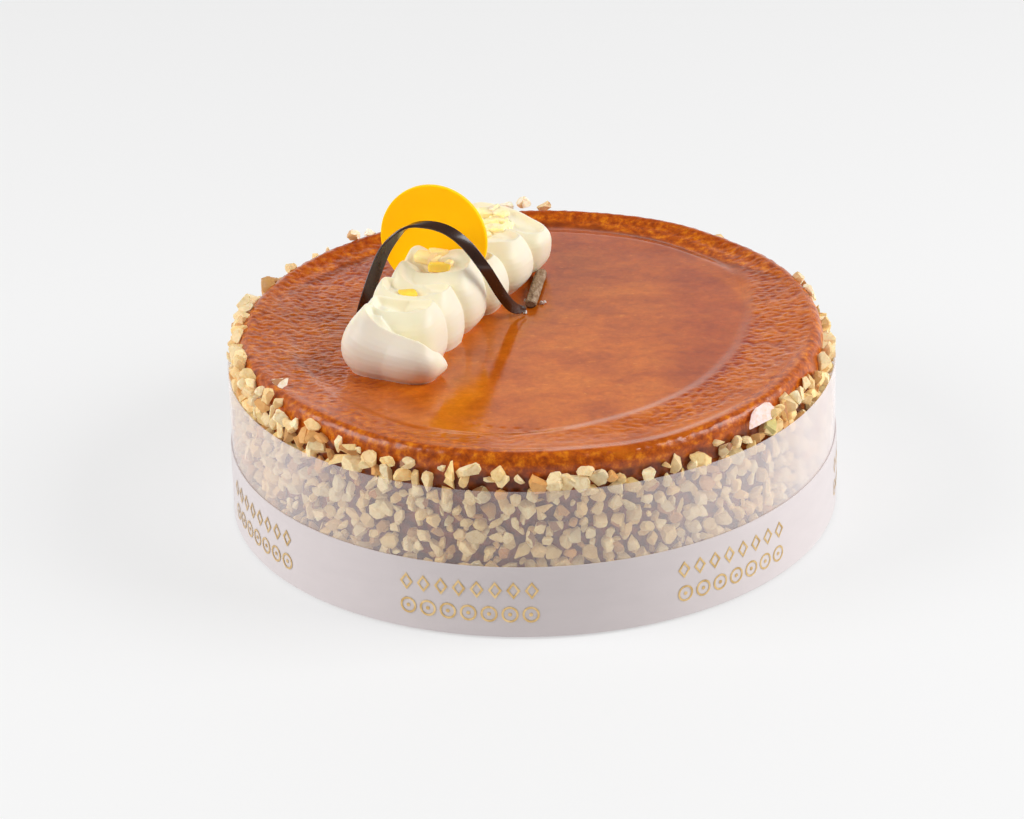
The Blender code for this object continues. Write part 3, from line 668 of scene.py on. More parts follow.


# film collar and ribbon, each one strip wound round with an overlap

# gain: how much the radius grows in one turn; hem: how far the top edge leans in, over what height, and
# where it starts to, in radians from the back; hazeAndGlare: how opaque the film is from its left side to its
# right, its own haze in the middle and painted glare of the side lights towards both sides
film = dict(radius=99.12, gain=0.2, thickness=0.12, overlap=13, seam=205, bottom=0.9, steps=400,
            colour=(0.84, 0.785, 0.79), glow=0.15, roughness=0.16, haze=(0.8, 1.25), glareSpan=(-0.099, 0.099),
            hazeAndGlare=((0.0, 0.37), (0.16, 0.21), (0.3, 0.145), (0.5, 0.12), (0.66, 0.17), (0.86, 0.29),
                  (1.0, 0.52)))
ribbon = dict(radius=99.55, gain=0.3, thickness=0.26, overlap=10, seam=168, steps=420, rows=24,
              hem=0.22, hemHeight=2, hemStart=(0.45, 0.9),
              colour=(0.72, 0.645, 0.645), mottle=0.965, roughness=0.34)


def woundStrip(name, strip, bottom, top, material, rows=2):
    # a flat strip on edge: its radius grows slowly so that the end lies over the start
    turns = math.radians(360 + strip["overlap"])
    angles = math.radians(strip["seam"]) + np.linspace(0, turns, strip["steps"])
    radii = strip["radius"] + strip["gain"] * np.linspace(0, 1 + strip["overlap"] / 360, strip["steps"])
    heights = np.linspace(bottom, top, rows)
    half = strip["thickness"] / 2
    loop = [(-half, h) for h in heights] + [(half, h) for h in heights[::-1]]
    points = []
    hem, hemHeight, hemStart = strip.get("hem", 0), strip.get("hemHeight", 1), strip.get("hemStart", (0, 1))
    for angle, radius in zip(angles, radii):
        fromBack = abs(math.remainder(angle - math.pi, 2 * math.pi))
        lean = hem * ease(fromBack, *hemStart)  # none near the seams at the back
        for off, height in loop:
            place = radius + off - lean * ease(height, top - hemHeight, top)
            points.append((place * math.sin(angle), -place * math.cos(angle), height))
    obj = makeMesh(name, points, closedFaces(strip["steps"], len(loop)), material, sharp=40)
    tidyNormals(obj)
    return obj


def tidyNormals(obj):
    mesh = bmesh.new()
    mesh.from_mesh(obj.data)
    bmesh.ops.recalc_face_normals(mesh, faces=mesh.faces)
    mesh.to_mesh(obj.data)
    mesh.free()


def makeFilm():
    # painted glow: the film gives out a little light of its own colour
    settings = surface(film["roughness"], 0.6, glow=(film["colour"], film["glow"]), IOR=1.45,
                       Base_Color=(*film["colour"], 1))
    material, tree, shader = newMaterial("clearFilm", settings)
    place = addNode(tree, "ShaderNodeTexCoord").outputs["Object"]
    across = addNode(tree, "ShaderNodeSeparateXYZ", Vector=place).outputs["X"]
    # painted glare: the film is more opaque, so whiter, towards its left and right sides, where the side
    # lights reflect
    across = mapped(tree, across, film["glareSpan"], smooth=False)
    hazeAndGlare = rampNode(tree, across, [(share, (value,) * 3) for share, value in film["hazeAndGlare"]])
    haze = noiseNode(tree, 26, 3, 0.55, 0.6, (1, 1, 0.5))
    haze = mapped(tree, haze, (0.3, 0.7), film["haze"], smooth=False)
    alpha = addNode(tree, "ShaderNodeMath", {"operation": "MULTIPLY"})
    tree.links.new(hazeAndGlare, alpha.inputs[0])
    tree.links.new(haze, alpha.inputs[1])
    feed(shader, alpha.outputs[0], "Alpha")
    bumpNode(tree, shader, noiseNode(tree, 40, 2, 0.5, 0.3, (1, 1, 0.35)), 0.0004, 0.3)
    obj = woundStrip("filmCollar", film, film["bottom"], filmTop, material)
    return dress(obj, "clear_film", "film_collar")


def makeRibbon():
    settings = surface(ribbon["roughness"], 0.6, Sheen_Weight=0.25, Sheen_Roughness=0.4)
    darker = tuple(ribbon["mottle"] * c for c in ribbon["colour"])
    weft = (900, 2, 0.5, 0.0, (0.06, 0.06, 3.2))  # fine threads along the ribbon
    material = mottledMaterial("whiteSatin", settings, (90, 3, 0.5, 0.0, (1, 1, 3)), (0.3, 0.7),
                               (darker, ribbon["colour"]), weft, (0.00005, 0.35))
    obj = woundStrip("ribbonBand", ribbon, wrapBottom, ribbonTop, material, ribbon["rows"])
    return dress(obj, "white_satin", "ribbon_band")


makeFilm()
makeRibbon()
print("film and ribbon")


# gold ornament on the ribbon: repeated blocks of lozenges over rings

foil = dict(blocks=7, firstBlock=-12.5, width=46.0, upperRow=17.0, lowerRow=8.6, thickness=0.03,
            radius=99.95, lozenges=8, lozengeSize=(4.4, 6.0), lozengeHole=(2.65, 3.9),
            rings=7, ringSize=(5.4, 5.6), ringHole=(4.0, 4.2), bead=(1.3, 1.3, 12), beadHole=(0.1, 0.1, 12),
            colours=((0.60, 0.38, 0.14), (0.86, 0.62, 0.31)))


def foilShape(outer, inner, centre, blockAngle):
    # a flat closed band between two outlines, laid on the round of the ribbon
    points, count = [], len(outer)
    for depth in (0.0, foil["thickness"]):
        for outline in (outer, inner):
            for u, v in outline:
                angle = blockAngle + (centre[0] + u) / foil["radius"]
                radius = foil["radius"] + depth
                points.append((radius * math.sin(angle), -radius * math.cos(angle), centre[1] + v))
    faces = []
    top = 2 * count
    for i in range(count):
        j = (i + 1) % count
        a, b, c, d = i, j, count + j, count + i
        faces += [(a, d, c, b), (top + a, top + b, top + c, top + d), (a, b, top + b, top + a),
                  (d, top + d, top + c, c)]
    return points, faces


def lozenge(width, height):
    return [(width / 2, 0), (0, height / 2), (-width / 2, 0), (0, -height / 2)]


def ring(width, height, sides=28):
    return [(width / 2 * math.cos(t), height / 2 * math.sin(t)) for t in fullTurn(sides)]


def makeFoil():
    material = mottledMaterial("goldFoil", surface(0.3, Metallic=0.85), (420, 3, 0.6), (0.3, 0.65),
                               foil["colours"], (2200, 2), (0.00002, 0.4))
    points, faces = [], []

    def add(shape):
        faces.extend(tuple(len(points) + i for i in face) for face in shape[1])
        points.extend(shape[0])

    for block in range(foil["blocks"]):
        angle = math.radians(foil["firstBlock"] + 360 / foil["blocks"] * block)
        for i in range(foil["lozenges"]):
            place = ((i - (foil["lozenges"] - 1) / 2) * foil["width"] / foil["lozenges"], foil["upperRow"])
            add(foilShape(lozenge(*foil["lozengeSize"]), lozenge(*foil["lozengeHole"]), place, angle))
        for i in range(foil["rings"]):
            place = ((i - (foil["rings"] - 1) / 2) * foil["width"] / foil["rings"], foil["lowerRow"])
            add(foilShape(ring(*foil["ringSize"]), ring(*foil["ringHole"]), place, angle))
            add(foilShape(ring(*foil["bead"]), ring(*foil["beadHole"]), place, angle))
    obj = makeMesh("ribbonFoil", points, faces, material, sharp=40)
    tidyNormals(obj)
    return dress(obj, "white_satin")


makeFoil()
print("gold ornament")


# piped cream: a row of folds, each rolling in to a crest with a hollow behind

rowStart = (-44.0, -27.0)
rowAngle = math.radians(67.4)  # of the row from +X
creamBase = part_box("cream")[0].z / mm
cream = dict(
    segments=128, foot=-0.5, backTaper=0.24, squareness=0.64, filledDepth=0.25,
    voxel=0.3, smoothing=2, ripple=0.06, ripplePitch=6.0,
    # white: the cream where lit; shade and front: painted shade, yellower on faces turned to the front of the
    # row, darker and greyer on the first fold's front face
    white=(0.985, 0.925, 0.75), shade=(0.98, 0.895, 0.65), front=(0.87, 0.78, 0.66),
    clouds=((0.98, 0.96, 0.93), (1, 1, 1)),
    # from the bottom up, the levels of a fold's side; then how far in and how deep its hollow goes
    levels=(0.0, 0.06, 0.14, 0.24, 0.35, 0.46, 0.57, 0.67, 0.76, 0.84, 0.9, 0.95, 0.98, 1.0),
    hollowSteps=((0.3, 0.0), (0.7, 0.14), (1.1, 0.4), (1.6, 0.7), (2.4, 0.93), (3.6, 1.0), (5.0, 1.0)),
)
# share of a fold's height, and how far out its front stands there
frontShape = dict(
    first=((0, 0.80), (0.15, 0.93), (0.4, 1.0), (0.65, 0.94), (0.82, 0.80), (0.93, 0.64), (1, 0.54)),
    scale=((0, 0.84), (0.2, 0.96), (0.45, 1.0), (0.68, 0.95), (0.82, 0.84), (0.92, 0.69), (1, 0.54)),
)
# along: the fold's place in the row; front and back: its reach along the row; skew: how far its right end
# stands back at the foot and at the crest; leftAhead: how far its left end stands forward; left and right:
# the reach to the sides by share of the height; crest: evenly spaced heights of its front edge from left to
# right; rise: how much higher its back edge is at the left and the right; hollow: how deep the top is sunk
# behind the crest; filledEnd: between which shares to the right it grows shallow; backTaper: how much
# narrower the right side is at the back
folds = (
    dict(along=1.8, hollow=3.9, filledEnd=(0.6, 0.92), backTaper=0.6, leftAhead=2.0,
         front=13.4, back=6.0, skew=(-1.6, -3.0), shape="first",
         left=((0, -14.0), (0.2, -16.3), (0.4, -16.8), (0.56, -16.1), (0.73, -14.4), (0.88, -12.0),
               (1, -10.0)),
         right=((0, 15.6), (0.2, 17.6), (0.4, 18.6), (0.6, 18.9), (0.8, 18.4), (1, 17.4)),
         crest=(20.6, 18.9, 16.9, 15.6, 14.9, 14.6, 14.2, 13.0, 9.8), rise=(-2.0, -7.0)),
    dict(along=13.4, hollow=3.6, leftAhead=3.0, front=14.2, back=5.4,
         left=((0, -12.5), (0.3, -15.0), (0.6, -14.6), (0.85, -12.6), (1, -10.8)),
         right=((0, 11.2), (0.14, 12.4), (0.36, 12.7), (0.62, 12.3), (0.84, 10.8), (1, 8.6)),
         crest=(19.4, 18.2, 17.4, 17.1, 17.1, 17.3, 17.8, 18.3), rise=(-0.4, 0.4)),
    dict(along=25.2, hollow=3.4, front=13.6, back=5.4,
         left=((0, -13.5), (0.3, -16.4), (0.6, -16.4), (0.85, -15.4), (1, -14.0)),
         right=((0, 12.6), (0.15, 13.5), (0.3, 13.8), (0.55, 13.3), (0.78, 11.5), (1, 9.4)),
         crest=(19.2, 18.2, 17.4, 17.0, 17.2, 17.8, 18.6, 19.1), rise=(-0.5, 0.2)),
    dict(along=33.0, hollow=1.6, front=11.4, back=5.4,
         left=((0, -12.5), (0.3, -14.8), (0.6, -14.8), (0.85, -13.2), (1, -11.6)),
         right=((0, 8.0), (0.3, 9.8), (0.6, 9.8), (0.85, 8.8), (1, 7.4)),
         crest=(21.0, 19.0, 17.6, 16.8, 16.4, 16.3, 16.2, 15.8), rise=(1.0, 0.6)),
    dict(along=39.4, hollow=1.4, front=13.0, back=8.8, skew=(-1.0, 0),
         left=((0, -12.5), (0.3, -15.4), (0.6, -15.2), (0.85, -13.2), (1, -11.4)),
         right=((0, 12.0), (0.1, 14.2), (0.25, 15.5), (0.45, 15.6), (0.65, 14.5), (0.82, 12.8), (1, 10.6)),
         crest=(20.6, 19.3, 18.8, 19.0, 19.5, 20.2, 20.8, 20.9), rise=(3.9, 3.2)),
    dict(along=54.5, hollow=2.6, front=12.0, back=6.6,
         left=((0, -12.0), (0.3, -14.4), (0.6, -14.0), (1, -10.5)),
         right=((0, 14.2), (0.2, 16.6), (0.45, 17.3), (0.7, 16.4), (0.88, 14.6), (1, 12.2)),
         crest=(17.0, 16.4, 16.2, 16.4, 16.8, 17.4, 17.9, 17.8), rise=(0.4, 0.2)),
    dict(along=72.0, hollow=1.6, front=14.0, back=6.6,
         left=((0, -10.5), (0.3, -13.6), (0.6, -13.2), (1, -9.6)),
         right=((0, 14.4), (0.12, 16.8), (0.3, 18.6), (0.56, 18.8), (0.8, 17.1), (1, 14.6)),
         crest=(17.4, 16.8, 16.8, 17.0, 17.5, 18.0, 18.3, 18.0), rise=(0.4, 0.2)),
    dict(along=85.0, hollow=1.5, front=11.5, back=9.5,
         left=((0, -11.5), (0.3, -14.8), (0.6, -14.4), (1, -10.2)),
         right=((0, 14.0), (0.15, 17.3), (0.35, 19.3), (0.6, 20.0), (0.82, 19.8), (1, 18.2)),
         crest=(17.6, 17.5, 17.4, 17.4, 17.2, 16.6, 15.8, 15.4), rise=(3.4, 0.6)),
)


def onRow(along, side, height):
    x = rowStart[0] + math.cos(rowAngle) * along + math.sin(rowAngle) * side
    y = rowStart[1] + math.sin(rowAngle) * along - math.cos(rowAngle) * side
    return np.array((x, y, creamBase + height))


def curveAt(points):  # a smooth curve through (share, value) pairs, to be read at any share
    route = smoothRoute(points, 12)
    return lambda share: np.interp(share, route[:, 0], route[:, 1])


def foldMesh(fold):
    outlines = fold["left"], fold["right"], frontShape[fold.get("shape", "scale")]
    left, right, front = (curveAt(outline) for outline in outlines)
    crestHeights = curveAt([(i / (len(fold["crest"]) - 1), h) for i, h in enumerate(fold["crest"])])
    turns = fullTurn(cream["segments"])
    c, s = (np.sign(v) * np.abs(v) ** cream["squareness"] for v in (np.cos(turns), np.sin(turns)))
    share = (c + 1) / 2
    riseLeft, riseRight = fold["rise"]
    crest = crestHeights(share) + (riseLeft + (riseRight - riseLeft) * share) * ease(s, -0.5, 0.9)
    reach = np.where(s > 0, fold["back"], fold["front"])
    taper = np.where(c > 0, fold.get("backTaper", cream["backTaper"]), cream["backTaper"])
    taper = 1 - taper * np.maximum(s, 0) ** 2

    def loop(level, inward=0.0, drop=0.0):
        middle, half = (right(level) + left(level)) / 2, (right(level) - left(level)) / 2
        side = middle + (half * taper - inward) * c
        skewFoot, skewCrest = fold.get("skew", (0, 0))
        along = fold["along"] + (skewFoot + (skewCrest - skewFoot) * level) * c
        along = along - fold.get("leftAhead", 0) * np.maximum(-c, 0)
        along = along + np.sign(s) * np.maximum(np.abs(reach * front(level) * s) - inward * np.abs(s), 0)
        return [onRow(a, b, h) for a, b, h in zip(along, side, crest * level - drop)]

    rows = [point - np.array((0, 0, -cream["foot"])) for point in loop(0)]
    for level in cream["levels"]:
        rows += loop(level)
    filled = ease(share, *fold.get("filledEnd", (1, 1.5)))
    hollow = fold["hollow"] * (1 - (1 - cream["filledDepth"]) * filled)
    for inward, depth in cream["hollowSteps"]:
        rows += loop(1.0, inward, depth * hollow)
    size = cream["segments"]
    count = len(rows) // size
    faces = gridFaces(count, size)
    faces += [tuple(reversed(range(size))), tuple((count - 1) * size + i for i in range(size))]
    return rows, faces


def creamShading(places, normals):  # painted shade: yellower on the faces between two folds, darker and greyer on the first face
    ahead = np.array((math.cos(rowAngle), math.sin(rowAngle), 0))
    along = (places / mm - np.array((*rowStart, 0))) @ ahead
    facing = ease(-normals @ ahead, 0.0, 0.8)[:, None]
    first = ease(-along, 1.5, 5.0)[:, None]
    tones = np.array(cream["white"]) * (1 - facing) + np.array(cream["shade"]) * facing
    tones = tones * (1 - first * facing) + np.array(cream["front"]) * first * facing
    return np.column_stack([tones, np.ones(len(tones))])


def makeCream():
    material = mottledMaterial("whippedCream", surface(0.38, 0.4, (0.3, (1.0, 0.75, 0.45), 0.0015)),
                               (60, 3, 0.5), (0.3, 0.7), cream["clouds"], (420, 3, 0.55), (0.0001, 0.35),
                               "creamShade")
    points, faces = [], []
    for fold in folds:
        rows, quads = foldMesh(fold)
        faces.extend(tuple(len(points) + i for i in quad) for quad in quads)
        points.extend(rows)
    obj = makeMesh("creamRow", points, faces, material)
    remesh = obj.modifiers.new("oneBody", "REMESH")
    remesh.mode = "VOXEL"
    remesh.voxel_size = cream["voxel"] * mm
    soften = obj.modifiers.new("soften", "SMOOTH")
    soften.iterations = cream["smoothing"]
    soften.factor = 0.5
    applied(obj)
    places = readVectors(obj.data.vertices, "co")
    normals = readVectors(obj.data.vertices, "normal")
    pitch = cream["ripplePitch"] * mm
    swell = np.array([noise.noise(Vector(p)) for p in places / pitch]) * cream["ripple"] * mm
    obj.data.vertices.foreach_set("co", (places + normals * swell[:, None]).ravel())
    obj.data.shade_smooth()
    paintPoints(obj, "creamShade", creamShading(places, normals))
    print("cream:", len(obj.data.polygons), "faces")
    return dress(obj, "cream", "cream")


makeCream()


# candied peel on the cream

peel = dict(seed=5, shape=(1.0, 0.66, 0.42), bevel=0.55, stray=(0.9, 1.25), tilt=0.3, uneven=0.07,
            clouds=((0.90, 0.86, 0.76), (1, 1, 1)),
            colours=((1.0, 0.62, 0.05), (1.0, 0.80, 0.42), (1.0, 0.87, 0.52)))
# along the row, side, height over the glaze, length, colour, turn
peelBits = (
    (23.6, -4.9, 14.9, 5.2, 0, 8), (39.6, -5.4, 21.0, 6.4, 1, -28), (42.7, -2.0, 21.9, 6.0, 1, 12),
    (37.6, 0.6, 19.6, 6.6, 0, -8), (39.4, -2.6, 20.9, 4.8, 1, 40), (39.0, 3.6, 21.0, 3.6, 1, 60),
    (72.0, 2.0, 16.7, 4.4, 2, 15), (75.5, 5.5, 18.1, 4.8, 2, -20), (79.0, 0.5, 18.0, 5.2, 1, 30),
    (80.5, 6.5, 16.7, 4.6, 2, 70), (84.0, 3.0, 16.8, 5.0, 2, 0), (76.5, 1.5, 17.6, 4.8, 2, -50),
    (85.5, -3.0, 18.5, 5.2, 2, 10), (86.3, 1.7, 18.3, 5.4, 2, -35), (88.2, -1.6, 19.0, 4.6, 2, 60),
    (82.6, 0.8, 16.9, 5.0, 2, 85),
)


def makePeel():
    # painted glow: the peel gives out a little warm light
    settings = surface(0.2, soft=(0.9, (1.0, 0.75, 0.3), 0.004), glow=((1.0, 0.72, 0.24), 0.17))
    material = mottledMaterial("candiedPeel", settings, (500, 2), (0.3, 0.6), peel["clouds"], (800, 2),
                               (0.0001, 0.4), "peelTone", 0.6)
    draw = np.random.default_rng(peel["seed"])
    whole = bmesh.new()
    tones = []
    for along, side, height, length, colour, turn in peelBits:
        bit = bmesh.new()
        bmesh.ops.create_cube(bit, size=1)
        for vertex in bit.verts:
            chip = draw.uniform(*peel["stray"], 3)
            vertex.co = Vector(vertex.co[i] * length * peel["shape"][i] * chip[i] for i in range(3))
        bmesh.ops.bevel(bit, geom=bit.edges[:], offset=peel["bevel"], segments=3, affect="EDGES", profile=0.5)
        bmesh.ops.subdivide_edges(bit, edges=bit.edges[:], cuts=1, use_grid_fill=True)
        tilt = Matrix.Rotation(draw.uniform(-peel["tilt"], peel["tilt"]), 4, "X")
        turn = Matrix.Rotation(math.radians(turn), 4, "Z") @ tilt
        place = Matrix.Translation(Vector(onRow(along, side, height)))
        for vertex in bit.verts:
            vertex.co += Vector(draw.uniform(-peel["uneven"], peel["uneven"], 3))
        bmesh.ops.transform(bit, matrix=Matrix.Scale(mm, 4) @ place @ turn, verts=bit.verts)
        tones += [(*peel["colours"][colour], 1)] * len(bit.verts)
        part = bpy.data.meshes.new("bit")
        bit.to_mesh(part)
        bit.free()
        whole.from_mesh(part)
        bpy.data.meshes.remove(part)
    mesh = bpy.data.meshes.new("peelBits")
    whole.to_mesh(mesh)
    whole.free()
    mesh.shade_smooth()
    mesh.materials.append(material)
    obj = addObject("peelBits", mesh)
    paintPoints(obj, "peelTone", tones)
    return dress(obj, "cream", "cream")


makePeel()
print("peel")


# round chocolate disc, upright in the cream

disc = dict(radius=18.2, thickness=1.8, centre=(-30.8, 15.4, 86.0), turn=5, lean=6, edge=0.35, sides=160,
            innerRings=(4, 8, 12, 15, 16.8), colours=((0.97, 0.50, 0.0), (1.0, 0.54, 0.0)))


def makeDisc():
    # painted glow: the disc gives out orange light, for the light shining through it from behind
    settings = surface(0.5, 0.12, (0.6, (1.0, 0.55, 0.05), 0.003), ((1.0, 0.5, 0.0), 0.3))
    material = mottledMaterial("yellowChocolate", settings, (70, 2, 0.5), (0.3, 0.7), disc["colours"],
                               (300, 3, 0.5), (0.0001, 0.2))
    half, edge, radius, sides = disc["thickness"] / 2, disc["edge"], disc["radius"], disc["sides"]
    profile = [(r, half) for r in disc["innerRings"]]
    for t in np.radians(range(0, 91, 15)):
        profile.append((radius - edge + edge * math.sin(t), half - edge + edge * math.cos(t)))
    profile += [(r, -z) for r, z in reversed(profile)]
    turns = fullTurn(sides)
    points = [(0, -half, 0)]
    for r, z in profile:
        points += [(r * math.cos(a), -z, r * math.sin(a)) for a in turns]
    points.append((0, half, 0))
    faces = [tuple(1 + i for i in face) for face in gridFaces(len(profile), sides)]
    faces += [(0, 1 + (i + 1) % sides, 1 + i) for i in range(sides)]
    first, last = 1 + (len(profile) - 1) * sides, len(points) - 1
    faces += fan(last, first, sides)
    lean = Matrix.Rotation(-math.radians(disc["lean"]), 3, "X")
    turn = Matrix.Rotation(rowAngle - math.pi / 2 + math.radians(disc["turn"]), 3, "Z")
    placed = [turn @ lean @ Vector(p) + Vector(disc["centre"]) for p in points]
    obj = makeMesh("orangeDisc", placed, faces, material, sharp=50)
    tidyNormals(obj)
    return dress(obj, "yellow_chocolate", "orange_disc")


makeDisc()
print("disc")


# arched chocolate strip

strip = dict(width=3.75, thickness=0.92, edge=0.22, steps=12, endTaper=0.72, endLength=0.5,
             colours=((0.026, 0.010, 0.006), (0.05, 0.019, 0.010)))
# x, y, z, how far the band's face is turned to the front, and its width, from the left foot to the right one
stripRoute = (
    (-55.4, 7.2, 61.0, -76, 4.3), (-53.8, 7.0, 67.2, -74, 4.4), (-49.7, 6.2, 79.4, -70, 4.4),
    (-46.0, 5.4, 87.6, -58, 4.4), (-39.9, 4.6, 94.5, -26, 4.1), (-33.9, 4.0, 96.0, 6, 3.75),
    (-26.6, 3.3, 94.3, 31, 3.75), (-20.2, 1.8, 89.5, 54, 3.75), (-14.1, 1.0, 80.9, 70, 3.75),
    (-9.1, 4.0, 70.3, 76, 3.75), (-5.4, 8.8, 63.4, 70, 3.6), (-1.7, 12.3, 61.0, 60, 2.2),
)


def roundedBar(width, thickness, edge):
    corners = ((1, 1, 0), (-1, 1, 90), (-1, -1, 180), (1, -1, 270))
    outline = []
    for sx, sy, start in corners:
        for t in (0, 30, 60, 90):
            a = math.radians(start + t)
            outline.append((sx * (width / 2 - edge) + edge * math.cos(a),
                            sy * (thickness / 2 - edge) + edge * math.sin(a)))
    return outline


def makeStrip():
    settings = surface(0.2, Coat_Weight=0.25, Coat_Roughness=0.1)
    material = mottledMaterial("darkChocolate", settings, (160, 3, 0.6, 0.0, (1, 1, 0.5)), (0.3, 0.7),
                               strip["colours"], (260, 3, 0.5), (0.00012, 0.25))
    stations = smoothRoute(stripRoute, strip["steps"])
    middles = [Vector(s[:3]) for s in stations]
    outline = roundedBar(strip["width"], strip["thickness"], strip["edge"])
    points = []
    for i, middle in enumerate(middles):
        along = (middles[min(i + 1, len(middles) - 1)] - middles[max(i - 1, 0)]).normalized()
        front = Vector((0, -1, 0))
        upper = along.cross(front).normalized()
        upper *= math.copysign(1, upper.z) if abs(upper.z) > 0.05 else math.copysign(1, upper.x)
        front = (front - along * front.dot(along)).normalized()
        face = math.radians(stations[i][3])
        normal = upper * math.cos(face) + front * math.sin(face)
        across = along.cross(normal).normalized()
        fromEnd = min(i, len(middles) - 1 - i) / strip["steps"]
        taper = strip["endTaper"] + (1 - strip["endTaper"]) * ease(fromEnd, 0, strip["endLength"])
        taper *= stations[i][4] / strip["width"]
        points += [middle + across * u * taper + normal * v for u, v in outline]
    faces = closedFaces(len(middles), len(outline))
    obj = makeMesh("chocolateStrip", points, faces, material, sharp=35)
    tidyNormals(obj)
    return dress(obj, "dark_chocolate", "chocolate_strip")


makeStrip()
print("strip")


# short dusted stick, and the sugar crumbs by its foot

# under: painted shade of the sides and underside; dust: the dusted colours
stick = dict(start=(0.2, 16.0), end=(4.1, 41.6), width=4.0, height=3.2, sides=40, rings=90, sunk=0.35,
             rough=0.12, grain=0.05, room=0.97, endLength=0.03, endWidth=0.7, under=(0.075, 0.034, 0.018),
             dust=((0.19, 0.100, 0.050), (0.36, 0.235, 0.140), (0.56, 0.43, 0.31)))
crumbs = dict(seed=3, colours=((0.86, 0.82, 0.74), (0.97, 0.96, 0.93)), sunk=0.3, rise=0.55,
              # x, y and size
              places=((-2.4, 13.6, 1.1), (-1.7, 12.4, 0.8), (4.0, 19.6, 0.9), (5.0, 20.3, 0.7),
                      (-1.5, 21.9, 0.7), (-3.2, 14.6, 0.6)))


def makeStick():
    material, tree, shader = newMaterial("dustedChocolate", surface(0.6, 0.3))
    speckle = noiseNode(tree, 800, 4, 0.75, 0.0, (1, 0.35, 1))
    dust = rampNode(tree, speckle, list(zip((0.34, 0.50, 0.68), stick["dust"])))
    # dust on the faces turned up, and painted shade: dark brown on the sides and the underside
    geometry = addNode(tree, "ShaderNodeNewGeometry")
    facing = addNode(tree, "ShaderNodeSeparateXYZ", Vector=geometry.outputs["Normal"]).outputs["Z"]
    upper = mapped(tree, facing, (-0.5, 0.4))
    feed(shader, mixColours(tree, upper, stick["under"], dust))
    bumpNode(tree, shader, speckle, 0.00015, 0.5)
    start, end = Vector((*stick["start"], 0)), Vector((*stick["end"], 0))
    ahead = (end - start).normalized()
    right = Vector((ahead.y, -ahead.x, 0))
    sides, count = stick["sides"], stick["rings"]
    points = []
    for number in range(count):
        share = number / (count - 1)
        fromEnd = min(share, 1 - share) / stick["endLength"]
        rounding = math.sqrt(max(0.0, 1 - max(0, 1 - fromEnd) ** 2))
        closing = rounding * (1 - stick["endWidth"]) + stick["endWidth"]
        centre = start + (end - start) * share
        for a in fullTurn(sides):
            lump = 1 + stick["rough"] * noise.noise(Vector((share * 17, math.cos(a) * 2, math.sin(a) * 2)))
            lump += stick["grain"] * noise.noise(Vector((share * 70, math.cos(a) * 5, math.sin(a) * 5)))
            side = right * math.cos(a) * stick["width"] / 2 * closing * lump * stick["room"]
            height = stick["height"] / 2 * (1 + math.sin(a) * closing * lump * stick["room"])
            points.append(centre + side + Vector((0, 0, creamBase - stick["sunk"] + max(height, 0.1))))
    obj = makeMesh("chocolateStick", points, closedFaces(count, sides), material, sharp=50)
    tidyNormals(obj)
    return dress(obj, "dusted_chocolate", "chocolate_stick")


def makeCrumbs():
    settings = surface(0.3, soft=(0.5, (1, 1, 1), 0.001))
    material = mottledMaterial("sugarCrumb", settings, (900, 2), (0.3, 0.6), crumbs["colours"])
    draw = np.random.default_rng(crumbs["seed"])
    places = crumbs["places"]
    pieces = []
    for (x, y, size), (shape, corners, _) in zip(places, chipKinds(draw, 2, len(places))):
        centre = (x, y, creamBase - crumbs["sunk"] + size * crumbs["rise"])
        pieces.append((centre + shape * 2 * size, corners, np.ones((len(shape), 4))))
    return dress(heapMesh("sugarCrumbs", pieces, material), "cream")


makeStick()
makeCrumbs()
print("stick and crumbs")


# floor, backdrop, light and camera

studio = dict(  # metres; the floor fades into the backdrop between two distances
    white=0.885, floorRings=(0.3, 0.6, 0.9, 1.3), floorSides=96, floorFade=(1.25, 0.75), floorGlow=0.6,
    floorTone=0.30, domeRadius=4.5, darkSky=0.12, skyTurn=(-0.25, 0.35),
    backSky=((0.0, 1.05), (0.25, 0.95), (0.45, 0.74), (0.6, 0.42), (0.74, 0.14), (1.0, 0.12)),
    boxes=(((-1.0, -0.25, 0.75), 0.75, 10.5), ((1.0, -0.15, 0.75), 0.75, 13.5)), boxAim=(0, 0, 0.05),
)
view = dict(  # metres: where the camera stands, and the directions of its right, top and line of sight
    place=(0.0, -1.231968, 0.635961),
    right=(0.9996625, -0.0067947, -0.02507412),
    top=(0.02550009, 0.44101682, 0.8971365),
    sight=(-0.00496233, 0.89747312, -0.44104125),
    lens=146.544, sensor=36.0,
)


def makeFloor():
    sides, rings = studio["floorSides"], studio["floorRings"]
    turns = fullTurn(sides)
    points = [(0, 0, 0)]
    for radius in rings:
        points += [(radius / mm * math.cos(a), radius / mm * math.sin(a), 0) for a in turns]
    faces = fan(0, 1, sides) + [tuple(1 + i for i in face) for face in gridFaces(len(rings), sides)]
    settings = surface(0.6, 0.1, glow=((1, 1, 1), studio["floorGlow"]))
    material, tree, shader = newMaterial("paleFloor", settings)
    tone = studio["floorTone"]
    feed(shader, rampNode(tree, noiseNode(tree, 3, 2), ((0.3, (tone * 0.99,) * 3), (0.7, (tone,) * 3))))
    place = addNode(tree, "ShaderNodeTexCoord").outputs["Object"]
    distance = addNode(tree, "ShaderNodeVectorMath", {"operation": "LENGTH"})
    tree.links.new(place, distance.inputs[0])
    feed(shader, mapped(tree, distance.outputs["Value"], studio["floorFade"]), "Alpha")
    obj = makeMesh("floor", points, faces, material)
    obj.location.z = -0.0002
    tidyNormals(obj)


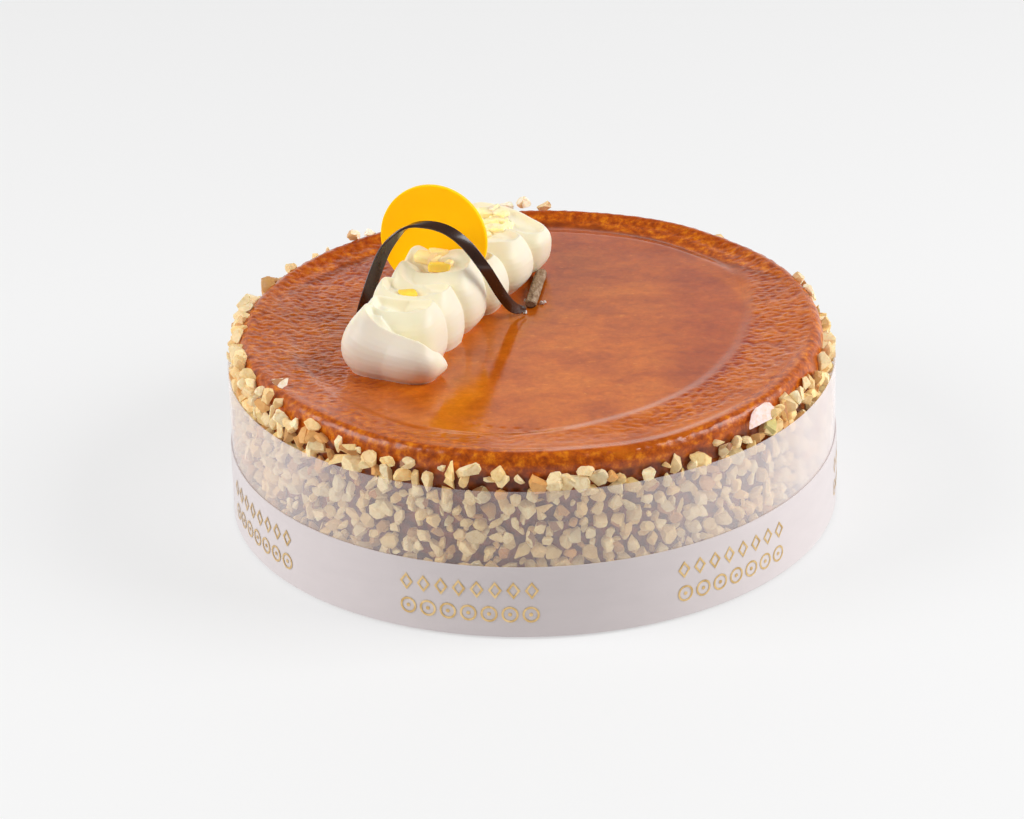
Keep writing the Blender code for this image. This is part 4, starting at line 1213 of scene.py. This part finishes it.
def makeBackdrop():
    dome = bmesh.new()
    bmesh.ops.create_uvsphere(dome, u_segments=48, v_segments=24, radius=studio["domeRadius"])
    mesh = bpy.data.meshes.new("backdrop")
    dome.to_mesh(mesh)
    dome.free()
    material = bpy.data.materials.new("backdropWhite")
    material.use_nodes = True
    tree = material.node_tree
    tree.nodes.clear()
    glow = addNode(tree, "ShaderNodeEmission", {"Color": (1, 1, 1, 1), "Strength": studio["white"]})
    out = addNode(tree, "ShaderNodeOutputMaterial")
    tree.links.new(glow.outputs[0], out.inputs["Surface"])
    mesh.materials.append(material)
    obj = addObject("backdrop", mesh)
    for ray in ("diffuse", "glossy", "transmission", "volume_scatter", "shadow"):
        setattr(obj, "visible_" + ray, False)


def makeSky():  # bright behind the cake and low down, dark above and in front
    world = bpy.data.worlds.new("studioSky")
    bpy.context.scene.world = world
    world.use_nodes = True
    tree = world.node_tree
    place = addNode(tree, "ShaderNodeTexCoord").outputs["Generated"]
    split = addNode(tree, "ShaderNodeSeparateXYZ", Vector=place)
    peak = max(value for _, value in studio["backSky"])
    stops = [(z, (v / peak,) * 3) for z, v in studio["backSky"]]
    ramp = rampNode(tree, split.outputs["Z"], stops)
    share = mapped(tree, split.outputs["Y"], studio["skyTurn"])
    dark = (studio["darkSky"] / peak,) * 3
    tree.links.new(mixColours(tree, share, dark, ramp), tree.nodes["Background"].inputs["Color"])
    tree.nodes["Background"].inputs["Strength"].default_value = peak


def makeBoxes():
    for number, (place, size, power) in enumerate(studio["boxes"]):
        light = bpy.data.lights.new(f"softbox{number}", "AREA")
        light.shape = "SQUARE"
        light.size = size
        light.energy = power
        obj = addObject(light.name, light)
        obj.location = place
        aim = Vector(studio["boxAim"]) - Vector(place)
        obj.rotation_euler = aim.to_track_quat("-Z", "Y").to_euler()


def makeCamera():
    camera = bpy.data.cameras.new("camera")
    camera.lens = view["lens"]
    camera.sensor_fit = "HORIZONTAL"
    camera.sensor_width = view["sensor"]
    camera.clip_start, camera.clip_end = 0.05, 20
    obj = addObject("camera", camera)
    turn = Matrix((view["right"], view["top"], tuple(-Vector(view["sight"])))).transposed()
    obj.matrix_world = Matrix.Translation(view["place"]) @ turn.to_4x4()
    bpy.context.scene.camera = obj


makeFloor()
makeBackdrop()
makeSky()
makeBoxes()
makeCamera()
bpy.context.scene.view_settings.view_transform = "Standard"
bpy.context.scene.view_settings.look = "None"

print("done")
